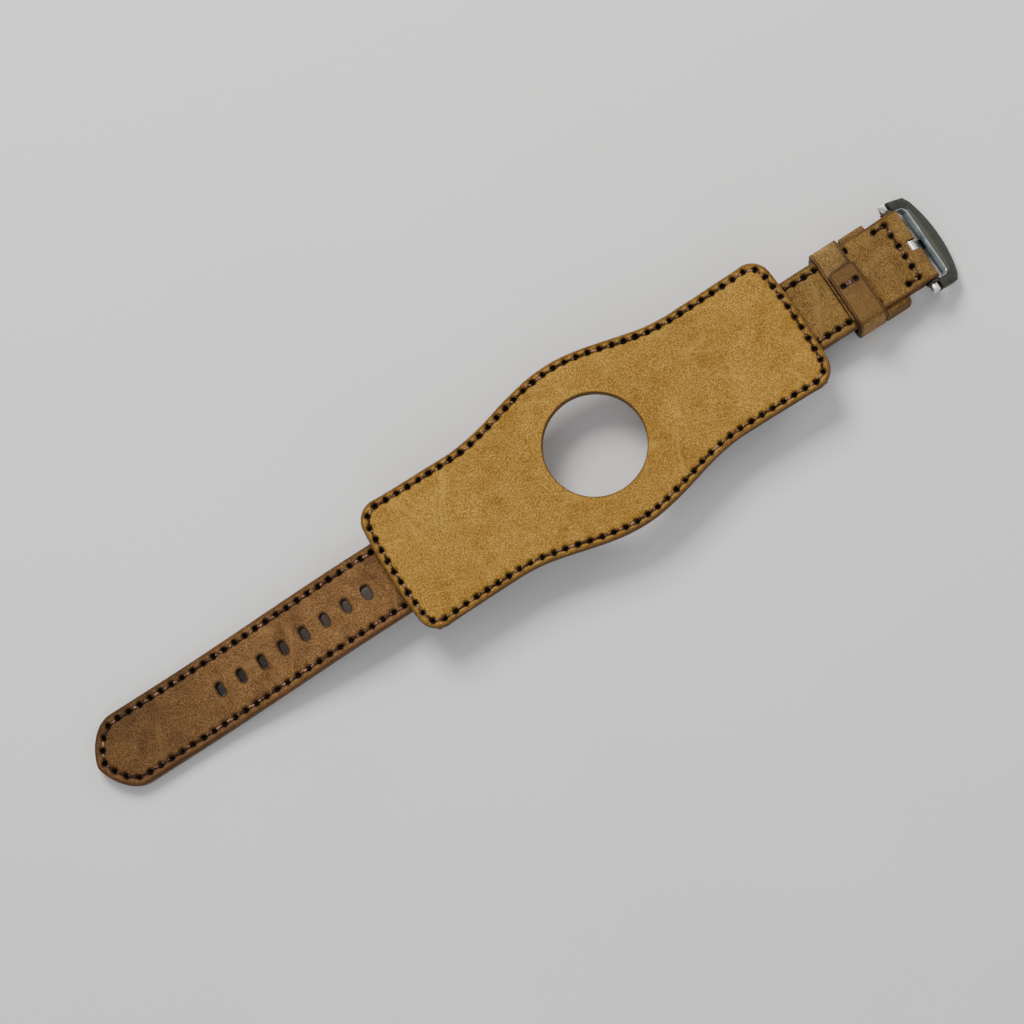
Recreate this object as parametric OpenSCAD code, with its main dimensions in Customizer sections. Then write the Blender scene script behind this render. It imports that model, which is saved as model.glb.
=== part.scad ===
// Bund-style leather watch strap: two strap halves carried on a wide wrist pad with a round window.
// It lies face down, so the side that touches the wrist is up. X runs along the strap from the tail
// to the buckle, Y runs across it and Z is up from the table. Sizes are in millimetres.
// The pieces are drawn from the pad's middle, then moved so that the origin is under the middle
// of the whole strap.

/* [Watch interface] */
// Gap between the watch's lugs
lug_gap = 20; // [18:1:22]
// Distance between the two spring bars' axes
bar_spacing = 42; // [38:1:46]
// Radius of a spring bar's tube
spring_tube_r = 0.9; // [0.75:0.05:1]
// Radius of the tip that enters a lug hole
tip_r = 0.4; // [0.35:0.05:0.45]
// Length of the tip that enters a lug hole
tip_len = 1.0; // [0.8:0.1:1.2]
// Radius of the window for the watch's case back
window_r = 13; // [10:0.5:14]

/* [Wrist pad] */
// Length of the pad along the strap
pad_len = 120; // [110:1:130]
// Width of the pad at its ends
pad_end_w = 36.5; // [34:0.5:40]
// Width of the pad at its two waists
pad_waist_w = 35.4; // [33:0.2:38]
// Width of the pad at its round belly
pad_belly_w = 46.8; // [44:0.2:50]
// Half of the belly's length along the strap
belly_reach = 33; // [28:1:36]
// How far each end bows out at its middle
end_bow = 1.2; // [0:0.1:2]
// Radius of the pad's corners
pad_corner_r = 5.5; // [3:0.5:7]
// Thickness of the pad's front leather
pad_front_t = 1.5; // [1:0.1:2]
// Thickness of the pad's lining leather
pad_lining_t = 1.5; // [1:0.1:2]
// Width of a bridge strap across the pad's front
bridge_w = 8; // [6:0.5:10]
// Thickness of a bridge's leather
bridge_t = 1.4; // [1:0.1:1.8]
// Distance from the pad's end to a bridge
bridge_inset = 3; // [3:0.5:6]

/* [Strap halves] */
// Thickness of the front leather
front_t = 1.75; // [1.4:0.05:2]
// Thickness of the lining leather
lining_t = 1.75; // [1.4:0.05:2]
// Thickness that the leather is pared to round a spring bar
lug_leather_t = 1.25; // [1:0.05:1.4]
// Distance from the pad's middle to the tail's tip
tail_reach = 146.8; // [140:0.2:155]
// Length of the tail's rounded spear tip
spear_len = 8.6; // [6:0.2:12]
// Number of adjusting holes
hole_count = 8; // [5:1:8]
// Distance from one adjusting hole to the next
hole_pitch = 6.25; // [6:0.05:6.5]
// Distance from the tail's tip to the first hole
first_hole = 36.2; // [28:0.2:36.4]
// Size of a hole along the strap
hole_len = 1.8; // [1.5:0.1:2.2]
// Size of a hole across the strap
hole_w = 3.6; // [3:0.1:4]
// Length over which the tail sinks to the table
drop_len = 60; // [50:1:65]

/* [Keepers] */
// Thickness of the keepers' leather
keeper_t = 1.5; // [1.2:0.1:1.8]
// Width of the sliding keeper along the strap
free_keeper_w = 7.6; // [6:0.2:9]
// Width of the fixed keeper along the strap
fixed_keeper_w = 7; // [6:0.2:8]
// Thickness that the fixed keeper is pared to inside the strap
fixed_keeper_inner_t = 0.8; // [0.6:0.1:1]
// Thickness of the sliding keeper's overlapping flap
flap_t = 1.3; // [1:0.1:1.6]
// Distance from the strap's middle line to the flap's rounded end
flap_end_y = 3.9; // [3:0.1:5]
// Radius of the flap's corners
flap_corner_r = 1.4; // [0.8:0.1:2]
// Distance between the two holes of the flap's stitch
flap_stitch = 3.5; // [3:0.1:4]

/* [Buckle] */
// Distance from the pad's middle to the buckle's bar
bar_x = 92; // [91:0.5:98]
// Radius of the bar's tube
bar_tube_r = 0.95; // [0.9:0.05:1.1]
// Radius of the screws' shanks
screw_r = 0.6; // [0.5:0.05:0.6]
// Radius of the screws' heads
head_r = 1.1; // [1:0.05:1.25]
// Length of the screws' heads
head_len = 2.1; // [1.5:0.1:2.2]
// Distance from the bar to the inner edge of the bow
bow_inner = 6.4; // [6.2:0.1:6.8]
// Distance from the bar to the corners of the bow
bow_corner = 8.1; // [8:0.1:8.5]
// Distance from the bar to the crown of the bow
bow_crown = 11.1; // [10.6:0.1:11.4]
// Thickness of the frame's plate
frame_t = 2.2; // [2:0.1:2.4]
// Width of each arm beside the strap
arm_w = 2.9; // [2.4:0.1:3.1]
// Thickness of the ears that hold the bar
ear_t = 0.8; // [0.7:0.05:1]
// Width of the tang
tang_w = 2.7; // [2.4:0.1:3]
// Thickness of the tang
tang_t = 1.1; // [0.9:0.1:1.2]
// Distance from the bar to the tang's point
tang_reach = 9.4; // [9:0.1:9.6]

/* [Stitching] */
// Distance from one stitch to the next
stitch_pitch = 3.1; // [2.8:0.1:3.5]
// Distance from the pad's edge to its seam
pad_seam_inset = 1.7; // [1.5:0.1:2.2]
// Distance from a strap half's edge to its seam
strap_seam_inset = 2.1; // [1.8:0.1:2.4]
// Width of the waxed thread
thread_w = 0.6; // [0.5:0.05:0.8]
// Height of the waxed thread
thread_t = 0.25; // [0.2:0.05:0.3]

/* [Clearances] */
// Gap between pieces that slide on each other
slide_gap = 0.1; // [0.1:0.05:0.3]
// Radial running fit of bars in their leather and metal eyes
running_fit = 0.05; // [0.03:0.01:0.08]
// Gap between a strap half and each lug
lug_gap_side = 0.1; // [0.05:0.05:0.2]
// Play of the tail and its seams inside the keepers
keeper_play = 0.05; // [0.05:0.05:0.5]
// Gap between seated pieces of one body
seat_gap = 0.02; // [0.01:0.01:0.05]

/* [Hidden] */
$fn = 48;

strap_w = lug_gap - 2 * lug_gap_side;
strap_t = front_t + lining_t;
// Height of a seam's stitches above the leather
seam_t = thread_t + seat_gap;
// Heights above the table, which the keepers' outer faces and the tail's stitches touch. A keeper
// has room for the tail, the seams on its two faces and the seam under the strap.
strap_z = keeper_t + strap_t + 3 * seam_t + keeper_play;
mid_z = strap_z + front_t;
top_z = strap_z + strap_t;
// Room for a seam between two pieces that slide on each other
seam_room = seam_t + slide_gap;
pad_z = top_z + seam_room;
pad_mid_z = pad_z + pad_front_t;
pad_top_z = pad_mid_z + pad_lining_t;
pad_half = pad_len / 2;
lug_x = bar_spacing / 2;
cut = 1;

// Angle at which the hanging frame's crown, or the tang's point, meets the table
function hang(reach, thick) = asin(mid_z / norm([reach, thick / 2])) - atan(thick / 2 / reach);
frame_hang = hang(bow_crown, frame_t);
tang_hang = hang(tang_reach, tang_t);

// The whole strap reaches from the tail's tip to the crown of the hanging frame
far_x = bar_x + bow_crown * cos(frame_hang) + frame_t / 2 * sin(frame_hang);
middle_x = (far_x - tail_reach) / 2;
module placed() { translate([-middle_x, 0, 0]) children(); }

// The tail leaves the bridge level, then sinks to the table in an even curve
drop_margin = 4;
drop_start = pad_half + drop_margin;
drop_steps = 14;

function lerp(a, b, t) = a + (b - a) * t;
function ease(t) = let (u = max(0, min(1, t))) u * u * (3 - 2 * u);
function polar(c, r, a) = c + r * [cos(a), sin(a)];
function arc(c, r, from, to, steps) = [for (i = [0:steps]) polar(c, r, lerp(from, to, i / steps))];

// Angle, at a circle's centre, of the tangent point that faces the given outside point
function tangent_angle(c, r, p, side) = atan2(p.y - c.y, p.x - c.x) + side * acos(r / norm(p - c));

// Corners of a closed outline replaced by arcs; each point is [x, y, radius]
function rounded(points, steps = 5) = [
    for (i = [0:len(points) - 1])
        let (n = len(points),
             p = [points[i].x, points[i].y],
             a = [points[(i + n - 1) % n].x, points[(i + n - 1) % n].y] - p,
             b = [points[(i + 1) % n].x, points[(i + 1) % n].y] - p,
             r = points[i].z)
        if (r <= 0) p
        else
            let (ua = a / norm(a), ub = b / norm(b),
                 half = acos(max(-1, min(1, ua * ub))) / 2,
                 middle = p + (ua + ub) / norm(ua + ub) * r / sin(half),
                 start = p + ua * r / tan(half) - middle,
                 end = p + ub * r / tan(half) - middle,
                 a0 = atan2(start.y, start.x),
                 turn = atan2(start.x * end.y - start.y * end.x, start * end))
            each [for (k = [0:steps]) polar(middle, r, a0 + turn * k / steps)]];

// Running length at each point of a path
function run_lengths(path) = [
    for (i = 0, run = 0; i < len(path);
         i = i + 1, run = i < len(path) ? run + norm(path[i] - path[i - 1]) : run) run];
function segment_at(runs, d) = max([for (i = [0:len(runs) - 2]) if (runs[i] <= d) i]);
// Place and heading, [x, y, angle], of the middle of each stitch along a path
function stitches_on(path, pitch) =
    let (runs = run_lengths(path), count = floor(runs[len(runs) - 1] / pitch))
    [for (j = [0:count - 1])
        let (d = (j + 0.5) * pitch,
             k = segment_at(runs, d),
             t = (d - runs[k]) / (runs[k + 1] - runs[k]),
             step = path[k + 1] - path[k])
        [lerp(path[k].x, path[k + 1].x, t), lerp(path[k].y, path[k + 1].y, t), atan2(step.y, step.x)]];

// A side profile in X and Z, drawn out across the strap
module across(points, width) {
    rotate([90, 0, 0]) linear_extrude(width, center = true) polygon(points);
}

// A cross-section in Y and Z, drawn out along the strap from x
module along(points, x, length) {
    translate([x, 0, 0]) rotate([90, 0, 90]) linear_extrude(length) polygon(points);
}

// A round bar along Y between two stations
module bar_y(r, from, to) {
    translate([0, from, 0]) rotate([-90, 0, 0]) cylinder(r = r, h = to - from);
}

// Part of the pitch that a stitch shows between its two holes
stitch_shown = 0.72;

// One visible stitch, lying flat at z on leather that slopes along X
module stitch(place, z, slope = 0) {
    translate([place.x, place.y, z])
        rotate([0, -atan(slope), 0])
            rotate([0, 0, place.z])
                cube([stitch_pitch * stitch_shown, thread_w, thread_t], center = true);
}

/* Wrist pad */
// Half width of the pad at x: a raised cosine belly between two waists that widen to the ends
function pad_half_w(x, inset) =
    let (belly = abs(x) < belly_reach ? pow(cos(90 * x / belly_reach), 2) : 0,
         flare = pow(min(1, abs(x) / pad_half), 4))
    pad_waist_w / 2 - inset + (pad_belly_w - pad_waist_w) / 2 * belly
        + (pad_end_w - pad_waist_w) / 2 * flare;
// Station of the pad's end at y, which bows outwards
function pad_end_x(y, inset) = pad_half - inset - end_bow * pow(2 * y / pad_end_w, 2);
// The pad's outline: long edges from the belly formula, bowed ends and round corners
function pad_quarter(inset) =
    let (r = pad_corner_r - inset,
         cy = pad_end_w / 2 - inset - r - 0.1,
         cx = pad_end_x(cy, inset) - r,
         reach = cx - 1)
    concat([for (i = [0:5]) let (y = cy * i / 6) [pad_end_x(y, inset), y]],
           arc([cx, cy], r, 4, 88, 7),
           [for (i = [0:23]) let (x = reach * (1 - i / 23)) [x, pad_half_w(x, inset)]]);
function pad_outline(inset) =
    let (q = pad_quarter(inset), n = len(q))
    concat(q,
           [for (i = [n - 2:-1:0]) [-q[i].x, q[i].y]],
           [for (i = [1:n - 1]) [-q[i].x, -q[i].y]],
           [for (i = [n - 2:-1:1]) [q[i].x, -q[i].y]]);
function closed(path) = concat(path, [path[0]]);

// The pad's seam lies in grooves just deeper than its thread, so neither face has a ridge. Each side
// has room for a straight stitch on the round of a corner.
pad_groove = thread_t + 0.05;
groove_side = 0.3;
groove_w = thread_w + 2 * groove_side;

module seam_groove(low, high) {
    translate([0, 0, low])
        linear_extrude(high - low)
            difference() {
                polygon(pad_outline(pad_seam_inset - groove_w / 2));
                polygon(pad_outline(pad_seam_inset + groove_w / 2));
            }
}

module pad_layer(low, thick) {
    difference() {
        translate([0, 0, low]) linear_extrude(thick) polygon(pad_outline(0));
        translate([0, 0, low - cut]) cylinder(r = window_r, h = thick + 2 * cut, $fn = 96);
    }
}

module pad_lining() {
    placed() color("goldenrod")
        difference() {
            pad_layer(pad_mid_z, pad_lining_t);
            seam_groove(pad_top_z - pad_groove, pad_top_z + cut);
        }
}

module pad_front() {
    placed() color("saddlebrown")
        difference() {
            pad_layer(pad_z, pad_front_t);
            seam_groove(pad_z - cut, pad_z + pad_groove);
        }
}

bridge_x = pad_half - bridge_inset - bridge_w;
bridge_side = strap_w / 2 + slide_gap + 0.05;
bridge_in_z = strap_z - seam_room;
bridge_low_z = bridge_in_z - bridge_t;
bridge_tab_z = pad_z - bridge_t;

// A leather loop that carries a strap half on the pad's front; its tabs are caught in the pad's seam
module pad_bridge(side) {
    wall = bridge_side + bridge_t;
    tab = pad_belly_w / 2;
    section = rounded([[-tab, pad_z, 0], [-bridge_side, pad_z, 0],
                       [-bridge_side, bridge_in_z, 0.3], [bridge_side, bridge_in_z, 0.3],
                       [bridge_side, pad_z, 0], [tab, pad_z, 0], [tab, bridge_tab_z, 0],
                       [wall, bridge_tab_z, 0.5], [wall, bridge_low_z, 1.2],
                       [-wall, bridge_low_z, 1.2], [-wall, bridge_tab_z, 0.5], [-tab, bridge_tab_z, 0]]);
    x = side > 0 ? bridge_x : -bridge_x - bridge_w;
    placed() color("sienna")
        intersection() {
            along(section, x, bridge_w);
            linear_extrude(pad_top_z) polygon(pad_outline(0));
        }
}

module pad_bridge_tail() { pad_bridge(-1); }
module pad_bridge_buckle() { pad_bridge(1); }

module pad_thread() {
    seam = stitches_on(closed(pad_outline(pad_seam_inset)), stitch_pitch);
    placed() color("saddlebrown")
        for (place = seam) {
            x = abs(place.x);
            under_tab = x > bridge_x - stitch_pitch && x < bridge_x + bridge_w + stitch_pitch / 2
                && abs(place.y) > bridge_side + bridge_t;
            low_face_z = under_tab ? bridge_tab_z : pad_z + pad_groove;
            stitch(place, pad_top_z - pad_groove + seat_gap + thread_t / 2);
            stitch(place, low_face_z - seat_gap - thread_t / 2);
        }
}

/* Lug ends and spring bars */
lug_hole_r = spring_tube_r + running_fit;
lug_out_r = lug_hole_r + lug_leather_t;
lug_c = [lug_x, top_z - lug_out_r];
lug_return = 6;
lug_taper = 8;
lug_seam_start = lug_taper + 1;
// Outline of a lug end: the leather turns round the spring bar and its pared end lies under the lining
function lug_turn() =
    let (low = tangent_angle(lug_c, lug_out_r, [lug_x + lug_taper, strap_z], -1))
    concat(arc(lug_c, lug_out_r, 90, 360 + low, 14), [[lug_x + lug_taper, strap_z]]);
lug_inside = [[lug_x + lug_return, mid_z], [lug_x + lug_return, top_z]];

tube_half = lug_gap / 2 - 1.4;
crimp_t = 0.4;
flange_t = 0.3;
flange_out = lug_gap / 2 - 0.1;
flange_r = spring_tube_r - 0.1;
tube_wall = 0.2;
tube_bore_r = spring_tube_r - tube_wall;
plunger_len = 1.75;
plunger_r = tube_bore_r - running_fit;
// The neck passes the tube's crimped end, which holds the thicker plunger back
neck_r = lerp(tip_r, plunger_r, 0.7);
plunger_end = tube_half - crimp_t - running_fit;

module spring_tube(side) {
    placed() color("silver")
        translate([side * lug_x, 0, lug_c.y])
            difference() {
                bar_y(spring_tube_r, -tube_half, tube_half);
                bar_y(tube_bore_r, -tube_half + crimp_t, tube_half - crimp_t);
                bar_y(neck_r + running_fit, -tube_half - cut, tube_half + cut);
            }
}

module spring_tip(side, end) {
    placed() color("lightgray")
        translate([side * lug_x, 0, lug_c.y])
            mirror([0, end > 0 ? 0 : 1, 0])
                union() {
                    bar_y(plunger_r, plunger_end - plunger_len, plunger_end);
                    bar_y(neck_r, plunger_end - 0.5, flange_out - flange_t / 2);
                    bar_y(flange_r, flange_out - flange_t, flange_out);
                    bar_y(tip_r, flange_out - flange_t / 2, flange_out + tip_len);
                }
}

// A coil spring along Y, its wire swept as one tube of flat facets
module coil(turns, steps, sides, r, wire_r, length) {
    count = turns * steps;
    rings = [for (i = [0:count])
        let (a = 360 * i / steps, y = length * (i / count - 0.5))
        for (k = [0:sides - 1])
            let (b = 360 * k / sides, ring_r = r + wire_r * cos(b))
            [ring_r * cos(a), y + wire_r * sin(b), ring_r * sin(a)]];
    last = count * sides;
    walls = [for (i = [0:count - 1], k = [0:sides - 1])
        let (p = i * sides + k, q = i * sides + (k + 1) % sides)
        each [[p, q, p + sides], [q, q + sides, p + sides]]];
    caps = [[for (k = [sides - 1:-1:0]) k], [for (k = [0:sides - 1]) last + k]];
    polyhedron(rings, concat(walls, caps));
}

module bar_spring(side) {
    wire_r = 0.1;
    room = plunger_end - plunger_len - wire_r - seat_gap;
    placed() color("gray")
        translate([side * lug_x, 0, lug_c.y])
            coil(12, 8, 5, tube_bore_r - wire_r - running_fit, wire_r, 2 * room);
}

module tail_bar_tube() { spring_tube(-1); }
module tail_bar_spring() { bar_spring(-1); }
module tail_bar_tip_left() { spring_tip(-1, 1); }
module tail_bar_tip_right() { spring_tip(-1, -1); }
module buckle_side_bar_tube() { spring_tube(1); }
module buckle_side_bar_spring() { bar_spring(1); }
module buckle_side_bar_tip_left() { spring_tip(1, 1); }
module buckle_side_bar_tip_right() { spring_tip(1, -1); }

/* Tail half */
tail_z = seam_t;
// How far the tail has sunk at a distance from the pad's middle
function drop_at(x) = (strap_z - tail_z) * ease((x - drop_start) / drop_len);
function drop_slope(x) = (drop_at(x + 0.1) - drop_at(x - 0.1)) / 0.2;
// Stations of the sinking part and the tip, as distances from the pad's middle
drop_xs = concat([for (i = [0:drop_steps]) drop_start + drop_len * i / drop_steps], [tail_reach + cut]);
function sunk(z) = [for (x = drop_xs) [x, z - drop_at(x)]];
function sunk_back(z) = [for (i = [len(drop_xs) - 1:-1:0]) [drop_xs[i], z - drop_at(drop_xs[i])]];

// Half width of the spear tip at a distance from its point. A larger shoulder power rounds the
// spear where it leaves the straight edge, and a larger nose power makes its point sharper.
spear_shoulder = 1.6;
spear_nose = 0.76;
function spear_half_w(d, half) =
    half * pow(1 - pow(1 - min(1, d / spear_len), spear_shoulder), spear_nose);
// The tail's plan from its lug end to its rounded spear tip
function tail_edge(inset) = [
    for (i = [16:-1:0])
        let (d = spear_len * pow(i / 16, 2))
        [tail_reach - inset - d, spear_half_w(d, strap_w / 2 - inset)]];
function tail_plan(inset, from) =
    concat([[from, strap_w / 2 - inset]], tail_edge(inset),
           [for (i = [15:-1:0]) let (e = tail_edge(inset)) [e[i].x, -e[i].y]],
           [[from, -strap_w / 2 + inset]]);

module slot_hole(x, length, width) {
    r = length / 2;
    outline = concat(arc([x, width / 2 - r], r, 0, 180, 8), arc([x, r - width / 2], r, 180, 360, 8));
    translate([0, 0, -cut]) linear_extrude(pad_top_z + cut) polygon(outline);
}

module tail_cuts() {
    for (i = [0:hole_count - 1])
        slot_hole(tail_reach - first_hole - i * hole_pitch, hole_len, hole_w);
}

// The tail half is drawn towards +X and turned over to its own side
module tail_side() { mirror([1, 0, 0]) children(); }

module tail_front_leather() {
    placed() color("saddlebrown")
        tail_side()
            difference() {
                intersection() {
                    across(concat(lug_turn(), sunk(strap_z), sunk_back(mid_z), lug_inside),
                           strap_w + 2 * cut);
                    linear_extrude(pad_top_z) polygon(tail_plan(0, lug_x - lug_out_r - cut));
                }
                translate([lug_x, 0, lug_c.y]) bar_y(lug_hole_r, -strap_w, strap_w);
                tail_cuts();
            }
}

module tail_lining() {
    placed() color("peru")
        tail_side()
            difference() {
                intersection() {
                    across(concat([[lug_x + lug_return, mid_z]], sunk(mid_z), sunk_back(top_z),
                                  [[lug_x + lug_return, top_z]]), strap_w + 2 * cut);
                    linear_extrude(pad_top_z) polygon(tail_plan(0, lug_x));
                }
                tail_cuts();
            }
}

module tail_thread() {
    lift = thread_t / 2 + seat_gap;
    path = tail_plan(strap_seam_inset, lug_x + lug_seam_start);
    placed() color("saddlebrown")
        tail_side()
            for (place = stitches_on(path, stitch_pitch)) {
                z = -drop_at(place.x);
                slope = -drop_slope(place.x);
                stitch(place, top_z + z + lift, slope);
                stitch(place, strap_z + z - lift, slope);
            }
}

/* Buckle half */
bar_hole_r = bar_tube_r + running_fit;
fold_r = bar_hole_r + front_t;
fold_taper = 6;
fold_end = bar_x + fold_r;
fold_corner_r = 0.9;
bar_c = [bar_x, mid_z];
// The fixed keeper sits just before the leather swells; the sliding one covers the folded end
fixed_keeper_end = bar_x - fold_taper - 0.5;
keeper_gap_x = 0.3;
fixed_keeper_x = fixed_keeper_end - fixed_keeper_w;
free_keeper_x = fixed_keeper_x - keeper_gap_x - free_keeper_w;
fold_back_x = free_keeper_x + 3;
// The tang's ring turns in a pocket of the fold, and its arm in a slot
ring_t = 0.9;
ring_r = bar_hole_r + ring_t;
pocket_gap = 0.15;
pocket_r = ring_r + pocket_gap;
slot_w = tang_w + 2 * pocket_gap;

module buckle_half_plan(from) {
    half = strap_w / 2;
    linear_extrude(pad_top_z)
        polygon(rounded([[from, -half, 0], [fold_end, -half, fold_corner_r],
                         [fold_end, half, fold_corner_r], [from, half, 0]]));
}

// The front leather turns round the spring bar at one end and round the buckle's bar at the other
module buckle_front_leather() {
    angle = tangent_angle(bar_c, fold_r, [bar_x - fold_taper, top_z], -1);
    section = concat(lug_turn(), [[bar_x - fold_taper, strap_z]], arc(bar_c, fold_r, -angle, angle, 14),
                     [[bar_x - fold_taper, top_z], [fold_back_x, top_z], [fold_back_x, mid_z]], lug_inside);
    room = keeper_gap_x / 2;
    placed() color("peru")
        difference() {
            intersection() {
                across(section, strap_w + 2 * cut);
                buckle_half_plan(lug_x - lug_out_r - cut);
            }
            translate([lug_x, 0, lug_c.y]) bar_y(lug_hole_r, -strap_w, strap_w);
            translate([bar_x, 0, mid_z]) bar_y(bar_hole_r, -strap_w, strap_w);
            translate([bar_x, 0, mid_z]) bar_y(pocket_r, -slot_w / 2, slot_w / 2);
            translate([bar_x, -slot_w / 2, mid_z]) cube([fold_r + cut, slot_w, fold_r + cut]);
            translate([bar_x - pocket_r, -slot_w / 2, mid_z - fold_r - cut])
                cube([pocket_r + fold_r + cut, slot_w, fold_r + cut]);
            translate([fixed_keeper_x - room, -strap_w, mid_z])
                cube([fixed_keeper_w + 2 * room, 2 * strap_w, fixed_keeper_inner_t + seat_gap]);
        }
}

module buckle_lining() {
    from = lug_x + lug_return;
    placed() color("peru")
        translate([from, -strap_w / 2, mid_z]) cube([fold_back_x - from, strap_w, lining_t]);
}

// Slope of the leather where it swells towards the buckle's bar
fold_rise = tangent_angle(bar_c, fold_r, [bar_x - fold_taper, top_z], -1) - 90;
// Distance from the fold's end to the seam that closes it, just behind the tang's pocket
fold_seam_inset = 4.9;

// Two rows along the edges, then a seam across the fold that turns back one stitch at each end
module buckle_thread() {
    lift = thread_t / 2 + seat_gap;
    edge = strap_w / 2 - strap_seam_inset;
    row_end = fixed_keeper_x - 1;
    row = [[lug_x + lug_seam_start, edge], [row_end, edge]];
    column_x = fold_end - fold_seam_inset;
    column = [[column_x - stitch_pitch, edge], [column_x, edge],
              [column_x, -edge], [column_x - stitch_pitch, -edge]];
    placed() color("saddlebrown") {
        for (place = stitches_on(row, stitch_pitch), side = [-1, 1]) {
            at = [place.x, side * place.y, 0];
            stitch(at, strap_z - lift);
            stitch(at, top_z + lift);
        }
        for (place = stitches_on(column, stitch_pitch)) {
            past_taper = place.x - bar_x + fold_taper;
            slope = past_taper < 0 ? 0 : tan(fold_rise);
            rise = past_taper * slope;
            stitch(place, top_z + lift + rise, slope);
            stitch(place, strap_z - lift - rise, -slope);
        }
    }
}

/* Keepers */
// A closed loop of leather round the strap: outer and inner half widths and heights
module loop_section(outer_w, inner_w, low, high, low_in, high_in, outer_r, inner_r) {
    difference() {
        polygon(rounded([[-outer_w, low, outer_r], [outer_w, low, outer_r],
                         [outer_w, high, outer_r], [-outer_w, high, outer_r]]));
        polygon(rounded([[-inner_w, low_in, inner_r], [inner_w, low_in, inner_r],
                         [inner_w, high_in, inner_r], [-inner_w, high_in, inner_r]]));
    }
}

module loop(x, length) {
    translate([x, 0, 0]) rotate([90, 0, 90]) linear_extrude(length) children();
}

fixed_inner = strap_w / 2 + slide_gap;
free_inner = strap_w / 2 + 0.3;
free_top = top_z + seam_room;

// The fixed keeper runs round the front and is closed between the two leathers of the fold
module fixed_keeper() {
    placed() color("sienna")
        loop(fixed_keeper_x, fixed_keeper_w)
            loop_section(fixed_inner + keeper_t, fixed_inner, 0, mid_z + fixed_keeper_inner_t,
                         keeper_t, mid_z + seat_gap, 0.75, slide_gap);
}

flap_z = free_top + keeper_t;
flap_fall = 5;

module flap_holes(r, z, height) {
    for (side = [-1, 1])
        translate([free_keeper_x + free_keeper_w / 2 + side * flap_stitch / 2, 0, z])
            cylinder(r = r, h = height);
}

module free_keeper() {
    outer = free_inner + keeper_t;
    middle_x = free_keeper_x + free_keeper_w / 2;
    flap = [[flap_end_y, flap_z], [flap_end_y, flap_z + flap_t], [-outer + flap_fall, flap_z + flap_t],
            [-outer + 1, flap_z - 0.1], [-outer + 1, flap_z - 0.4], [flap_end_y, flap_z - 0.4]];
    placed() color("peru")
        difference() {
            union() {
                loop(free_keeper_x, free_keeper_w)
                    loop_section(outer, free_inner, 0, flap_z, keeper_t, free_top, 1.3, 0.5);
                intersection() {
                    along(flap, free_keeper_x - cut, free_keeper_w + 2 * cut);
                    linear_extrude(flap_z + 2 * flap_t)
                        polygon(rounded([[free_keeper_x, -outer, 0],
                                         [free_keeper_x + free_keeper_w, -outer, 0],
                                         [free_keeper_x + free_keeper_w, flap_end_y, flap_corner_r],
                                         [free_keeper_x, flap_end_y, flap_corner_r]]));
                }
            }
            flap_holes(thread_w / 2 + 0.1, free_top - cut, keeper_t + flap_t + 2 * cut);
            translate([middle_x - flap_stitch / 2 - 0.4, -thread_w / 2 - 0.1, free_top - cut])
                cube([flap_stitch + 0.8, thread_w + 0.2, cut + thread_t + 0.1]);
        }
}

module free_keeper_stitch() {
    middle_x = free_keeper_x + free_keeper_w / 2;
    low = free_top + 0.05;
    high = flap_z + flap_t + seat_gap;
    placed() color("rosybrown")
        union() {
            for (z = [low, high])
                translate([middle_x - flap_stitch / 2, -thread_w / 2, z])
                    cube([flap_stitch, thread_w, thread_t]);
            flap_holes(thread_w / 2, low, high + thread_t - low);
        }
}

/* Buckle */
ear_in = strap_w / 2 + slide_gap;
ear_out = ear_in + ear_t;
ear_r = 1.45;
arm_start = head_r + 0.5;
arm_out = ear_in + arm_w;
inner_corner = 1;
// Places a piece that is drawn flat, with the bar along Y through the origin, at its hanging angle
module on_bar(angle) { translate([bar_x, 0, mid_z]) rotate([0, angle, 0]) children(); }

bow_half = arm_out - 0.3;
bow_rise = bow_crown - bow_corner;
bow_r = (pow(bow_half, 2) + pow(bow_rise, 2)) / (2 * bow_rise);
bow_c = [bow_crown - bow_r, 0];
bow_angle = asin(bow_half / bow_r);
corner_r = 1.2;

module frame_plate() {
    corner_x = bow_corner - corner_r;
    outline = concat([[arm_start, -arm_out]],
                     arc([corner_x, -bow_half + corner_r], corner_r, -88, -bow_angle, 5),
                     arc(bow_c, bow_r, -bow_angle + 4, bow_angle - 4, 14),
                     arc([corner_x, bow_half - corner_r], corner_r, bow_angle, 88, 5),
                     [[arm_start, arm_out]]);
    window = rounded([[arm_start - cut, -ear_in, 0], [bow_inner - 4, -ear_in, 0],
                      [bow_inner - inner_corner, -ear_in + 0.3, 0.3],
                      [bow_inner, -ear_in + inner_corner + 0.1, 0.3],
                      [bow_inner, ear_in - inner_corner - 0.1, 0.3],
                      [bow_inner - inner_corner, ear_in - 0.3, 0.3],
                      [bow_inner - 4, ear_in, 0], [arm_start - cut, ear_in, 0]]);
    difference() {
        translate([0, 0, -frame_t / 2]) linear_extrude(frame_t) polygon(outline);
        translate([0, 0, -frame_t]) linear_extrude(2 * frame_t) polygon(window);
    }
}

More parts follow.
